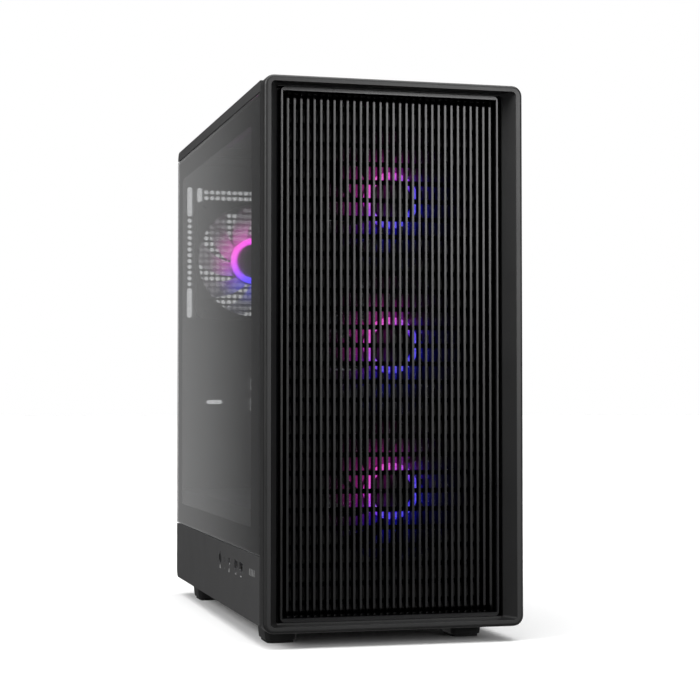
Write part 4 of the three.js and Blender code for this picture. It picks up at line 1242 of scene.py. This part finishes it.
for z in (282, 296, 318, 332):
    rear_socket(156.5, z, 14, 7)
    rear_socket(173.5, z, 14, 7)
rear_socket(165, 352, 17, 14, tongue=False)
rear_socket(156.5, 372, 15, 6)
rear_socket(156.5, 388, 17, 6)
rear_socket(174.5, 380, 9, 4)
punch(plate, *mouths, *[add_rod("hole", (x, 431, 258), 3.2, 20, "y", 20) for x in (153, 165, 177)])
soften(plate, 0.15, 1)
finish_piece(plate, satin_metal, "chassis", "circuit_board")
shells = soften(weld("rear_socket_shells", *shells), 0)
finish_piece(shells, plated_metal, "chassis", "socket_metal")
tongues = weld("rear_socket_tongues", *tongues)
finish_piece(tongues, blue_plastic, "chassis", "circuit_board")
jacks = []
for x in (153, 165, 177):
    rear_jack = add_rod("jack", (x, 424, 258), 3.0, 16, "y", 24)
    punch(rear_jack, add_rod("bore", (x, 428, 258), 1.8, 12, "y", 20))
    jacks.append(soften(rear_jack, 0.3))
jacks = weld("rear_audio_jacks", *jacks)
finish_piece(jacks, socket_plastic, "chassis", "circuit_board")
print("rear sockets:", 13)

# %% [markdown]
# The processor's cooler is a tower of thin metal plates on heat pipes, with a fan on its front. One
# plate is made with a shallow fold on two edges and repeated along the pipes.

# %% Processor cooler
plate_x = 66
cooler_plate = add_block("cooler_plates", (plate_x, 299, 268), (plate_x + 0.5, 345, 386))
punch(cooler_plate, add_block("notch", (60, 296, 300), (80, 302, 354)))
for edge in (-1, 1):
    extrude(cooler_plate,
            lambda middle, normal: normal.z * edge > 0.9 and middle.z * edge > 326 * edge, z=0.01 * edge)
row_of(cooler_plate, 43, x=2.28)
soften(cooler_plate, 0)
finish_piece(cooler_plate, satin_metal, "chassis", "cooling_metal", "processor_heatsink")
pipes = []
for y in (308, 318, 328, 338):
    for z in (296, 358):
        pipe = add_rod("pipe", (116.5, y, z), 3, 108, "x", 20)
        bevel(pipe, lambda a, b: abs(a.x - b.x) < 0.01, 1.6, 3)
        pipes.append(pipe)
pipes = soften(weld("cooler_heat_pipes", *pipes), 0)
finish_piece(pipes, copper, "chassis", "cooling_metal")
foot_plate = add_block("cooler_base", (171, 304, 290), (BOARD_X - 0.4, 342, 364))
soften(foot_plate, 1.5, 3)
finish_piece(foot_plate, satin_metal, "chassis", "cooling_metal")

step = (122.3 - hx, 273 - hy, 327 - hz)
finish_piece(copy_of(fan_frame, "cooler_fan_duct", *step), fan_black, "chassis", "fan_frame_plastic",
             "processor_fan_frame")
cooler_blades = make_wheel("cooler_blades", (122.3, 273 + 7.5, 327), 19, 55, 7, 15, 20, 0.45)
cooler_cap = add_rod("cooler_cap", (122.3, 273 + 11.5, 327), 20, 19, "y", 48)
bevel(cooler_cap, lambda a, b: abs(a.y - 275) < 0.1 and abs(b.y - 275) < 0.1, 1.5, 3)
inset(cooler_cap, lambda middle, normal: normal.y < -0.9, 3, -0.2)
cooler_wheel = soften(weld("cooler_fan_wheel", cooler_blades, cooler_cap), 0)
finish_piece(cooler_wheel, fan_black, "processor_fan_wheel", "fan_frame_plastic", "processor_fan_rotor")
print("cooler plates:", 43, "pipes:", 8)

# %% [markdown]
# Two memory modules stand in their slots. Each wears a metal cover with a stepped top edge.

# %% Memory modules
module = add_block("module", (BOARD_X - 33.4, 240.4, 259), (BOARD_X - 7.4, 247, 390))
extrude(module, lambda middle, normal: normal.x < -0.9, x=-0.01)
comb = add_block("comb", (BOARD_X - 40, 238, 262), (BOARD_X - 31.2, 250, 266))
row_of(comb, 16, z=8)
punch(module, comb)
soften(module, 0.5, 2)
edge_board = add_block("edge_board", (BOARD_X - 8, 243, 258), (BOARD_X - 0.6, 244.4, 391))
soften(edge_board, 0.1, 1)
for number, y in enumerate((0, 18)):
    finish_piece(copy_of(module, f"memory_cover_{number + 1}", y=y), dark_shell, "chassis", "circuit_board",
                 f"memory_module_{number + 1}")
    finish_piece(copy_of(edge_board, f"memory_edge_{number + 1}", y=y), solder_mask, "chassis",
                 "circuit_board")
for thing in (module, edge_board):
    bpy.data.objects.remove(thing, do_unlink=True)
print("memory modules: 2")

# %% [markdown]
# The graphics card hangs from the long slot, fans down. Its shell has chamfered ends and two fan
# wells. A board and a backplate close its top, and a metal bracket ties it to the rear wall.

# %% Graphics card
shell = add_block("graphics_shell_moulding", (84, 186, 172), (172.4, 426, 208.5))
bevel(shell, along(0, (186, 172), (426, 172)), 6, 2)
bevel(shell, along(1, (84, 172)), 5, 2)
wells = [add_rod("well", (128, y, 178), 42, 24, "z", 64) for y in (246, 346)]
punch(shell, *wells)
punch(shell, row_of(add_block("vent", (80, 196, 196), (90, 199, 204)), 34, y=6.5))
soften(shell, 0.8, 2, 40)
finish_piece(shell, dark_shell, "chassis", "device_shell", "graphics_card")
backplate = add_block("graphics_backplate", (83.6, 194, 210.9), (172.4, 427, 212.4))
punch(backplate, row_of(add_block("vent", (100, 206, 205), (156, 209, 220)), 8, y=8))
soften(backplate, 0.3)
finish_piece(backplate, satin_metal, "chassis", "device_shell")
card_board = add_block("graphics_board", (84, 194, 208.7), (172.4, 427, 210.7))
soften(card_board, 0.1, 1)
finish_piece(card_board, solder_mask, "chassis", "circuit_board")
bracket = add_block("graphics_bracket", (82.5, 427.1, 173), (178, 428.5, 215))
CARD_PORTS = (92, 114, 136)
punch(bracket, row_of(add_block("vent", (90, 420, 196), (94, 436, 210)), 10, x=8),
      *[add_block("mouth", (x, 420, 178), (x + 17, 436, 185)) for x in CARD_PORTS])
soften(bracket, 0.2, 1)
finish_piece(bracket, plated_metal, "chassis", "device_shell")
card_ports = [soften(add_block("port", (x + 0.6, 424, 178.6), (x + 16.4, 428.2, 184.4)), 0.4)
              for x in CARD_PORTS]
finish_piece(weld("graphics_ports", *card_ports), socket_plastic, "chassis", "device_shell")


def make_flat_wheel(name, x, y, z, root, tip, blades_count, depth, chord, hub_radius, hub_depth):
    """A fan wheel about Z that faces down, made about Y and laid over."""
    wheel = make_wheel(name, (x, y, z), root, tip, blades_count, depth, chord, 0.5)
    cap = add_rod("cap", (x, y + hub_depth / 2 - 1, z), hub_radius, hub_depth, "y", 40)
    bevel(cap, lambda a, b: max(a.y, b.y) < y, 1.2, 3)
    inset(cap, lambda middle, normal: normal.y < -0.9, 2.2, -0.2)
    wheel = soften(weld(name, wheel, cap), 0)
    pivot = Matrix.Translation(at(x, y, z))
    wheel.data.transform(pivot @ Matrix.Rotation(math.pi / 2, 4, "X") @ pivot.inverted())
    return wheel


for name, y, node in (("front", 246, "graphics_fan_front"), ("rear", 346, "graphics_fan_rear")):
    wheel = make_flat_wheel(f"graphics_wheel_{name}", 128, y, 175.5, 17, 40, 9, 8, 13, 18, 12)
    finish_piece(wheel, fan_black, f"graphics_wheel_{name}", "fan_frame_plastic", node)
print("graphics card pieces:", 8)

# %% [markdown]
# The power supply fills the lower rear. Its shell is a plain coated box with a fan in the floor and
# a perforated rear face, which carries the mains inlet and its rocker switch.

# %% Power supply
supply = add_block("supply_shell", (28, 290, 6.8), (178, 430.2, 92.8))
inlet = (54, 60)
rocker = (88, 60)


def supply_holes():
    """The holes for the mains inlet and the rocker, through the shell and through its rear face."""
    return (add_block("inlet_hole", (inlet[0] - 14.2, 405, inlet[1] - 11.2),
                      (inlet[0] + 14.2, 440, inlet[1] + 11.2)),
            add_block("rocker_hole", (rocker[0] - 6.8, 416, rocker[1] - 10.4),
                      (rocker[0] + 6.8, 440, rocker[1] + 10.4)))


punch(supply, add_rod("fan_well", (102, 362, 10), 58, 48, "z", 72), *supply_holes())
soften(supply, 0.6, 2, 40)
finish_piece(supply, coated_steel, "chassis", "device_shell", "power_supply")
supply_face = add_block("supply_rear_grille", (32.4, 430.3, 11.2), (173.6, 431.5, 88.4))
hexes = []
hexagon = add_rod("hexagon", (0, 431, 0), 2.7, 6, "y", 6)
for row in range(14):
    for step in range(24):
        x = 36.5 + step * 5.8 + (2.9 if row % 2 else 0)
        z = 15.5 + row * 5.1
        by_inlet = x < inlet[0] + 22 and abs(z - inlet[1]) < 17
        by_rocker = abs(x - rocker[0]) < 12 and abs(z - rocker[1]) < 16
        if by_inlet or by_rocker or x > 170:
            continue
        hexes.append(copy_of(hexagon, "hexagon", x, 0, z))
bpy.data.objects.remove(hexagon, do_unlink=True)
hex_count = len(hexes)
punch(supply_face, weld("hexes", *hexes), *supply_holes())
soften(supply_face, 0)
finish_piece(supply_face, coated_steel, "chassis", "device_shell")
supply_wheel = make_flat_wheel("supply_wheel", 102, 362, 11.5, 18, 55, 9, 10, 17, 20, 16)
finish_piece(supply_wheel, fan_black, "supply_fan_wheel", "fan_frame_plastic", "power_supply_fan")

inlet_body = add_block("inlet_body", (inlet[0] - 14, 411.2, inlet[1] - 11),
                       (inlet[0] + 14, 432.2, inlet[1] + 11))
flange = add_block("flange", (inlet[0] - 17, 432.1, inlet[1] - 13), (inlet[0] + 17, 434, inlet[1] + 13))
bevel(flange, along(1), 3, 4)
inlet_body = weld("mains_inlet_moulding", inlet_body, flange)
inlet_mouth = add_block("mouth", (inlet[0] - 11.8, 417, inlet[1] - 8), (inlet[0] + 11.8, 440, inlet[1] + 8))
bevel(inlet_mouth, along(1, (inlet[0] - 11.8, inlet[1] + 8), (inlet[0] + 11.8, inlet[1] + 8)), 4, 1)
punch(inlet_body, inlet_mouth)
soften(inlet_body, 0.4)
finish_piece(inlet_body, socket_plastic, "chassis", "black_plastic", "mains_inlet")
pins = [soften(add_block("pin", (inlet[0] + x - 1, 416, inlet[1] + z - 2),
                         (inlet[0] + x + 1, 428, inlet[1] + z + 2)), 0.3)
        for x, z in ((-7, -1), (0, 3), (7, -1))]
finish_piece(weld("mains_inlet_pins", *pins), plated_metal, "chassis", "socket_metal")
switch = refined("mains_rocker", "mains_rocker_cap", 0.5)
finish_piece(switch, socket_plastic, "supply_rocker", "black_plastic", "mains_rocker")
print("hexagon holes:", hex_count)

# %% [markdown]
# Under the power supply a framed filter slides out to the back. It has the same woven mesh as the
# roof filter.

# %% Bottom filter
lower_frame = add_block("lower_frame", (42, 276, 1.6), (162, 435, 4.2))
punch(lower_frame, add_block("window", (50, 284, 0), (154, 350, 8)),
      add_block("window", (50, 354, 0), (154, 425, 8)))
soften(lower_frame, 0.3)
grip = add_block("grip", (82, 433, -1.5), (122, 436, 4.2))
bevel(grip, along(1), 1.2, 3)
soften(grip, 0.4)
lower_warp = row_of(add_block("warp", (50, 284, 2.7), (50 + THREAD, 425, 3.0)), 87, x=THREAD_PITCH)
lower_weft = row_of(add_block("weft", (50, 284, 2.9), (154, 284 + THREAD, 3.2)), 118, y=THREAD_PITCH)
lower_filter = weld("bottom_dust_filter", lower_frame, grip, lower_warp, lower_weft)
finish_piece(lower_filter, filter_nylon, "floor_filter", "black_plastic", "bottom_filter")

# %% [markdown]
# The last small things are screws, and the drive behind the tray. A screw is a domed head with a
# cross, and a thumbscrew has a ribbed rim. Each is made once and copied.

# %% Screws and drive
screw = add_rod("screw", (0, REAR + 2.0, 0), 3.4, 1.8, "y", 20)
bevel(screw, lambda a, b: a.y > REAR + 2.5 and b.y > REAR + 2.5, 0.8, 2)
punch(screw, add_block("cross", (-2, REAR + 2.2, -0.4), (2, REAR + 6, 0.4)))
punch(screw, add_block("cross", (-0.4, REAR + 2.2, -2), (0.4, REAR + 6, 2)))
soften(screw, 0)
places = [(REAR_FAN[0] + x, REAR_FAN[2] + z) for x in (-52.5, 52.5) for z in (-52.5, 52.5)]
places += [(186.5, 119 + 20.32 * row) for row in range(7)]
places += [(24, 14), (24, 84), (182, 14), (182, 84)]
screws = [copy_of(screw, "screw", x, 0, z) for x, z in places]
bpy.data.objects.remove(screw, do_unlink=True)
finish_piece(weld("rear_screws", *screws), plated_metal, "chassis", "black_steel")

thumb = add_rod("thumbscrew", (206.5, 433.5, 400), 4.2, 3.4, "y", 32)
open_faces(thumb, lambda middle, normal: abs(normal.y) < 0.1 and int(math.degrees(
    math.atan2(middle.z - 400, middle.x - 206.5)) // 11.25) % 2 == 0)
bpy.ops.mesh.extrude_faces_move(TRANSFORM_OT_shrink_fatten={"value": 0.0004})
close_edit()
soften(thumb, 0.15, 1)
thumbs = weld("thumbscrews", thumb, copy_of(thumb, "thumb", z=-350), copy_of(thumb, "thumb", z=-175))
finish_piece(thumbs, fan_black, "chassis", "black_steel")

drive = add_block("drive_shell", (193, 176, 187), (200, 276, 257))
bevel(drive, along(0), 3, 3)
inset(drive, lambda middle, normal: normal.x > 0.9, 5, -0.3)
soften(drive, 0.4)
finish_piece(drive, dark_shell, "chassis", "device_shell", "solid_state_drive")
lead_board = refined("front_connector_board", "front_lead_board", 0.1)
finish_piece(lead_board, solder_mask, "chassis", "circuit_board", "front_connector_board")
for thing in (fan_frame, blades, hub, ring, foot, pad):
    bpy.data.objects.remove(thing, do_unlink=True)
still_shown = sorted(name for name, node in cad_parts.items() if not node.hide_render)
print("pieces:", len(FINISHED), "CAD nodes still shown:", still_shown)
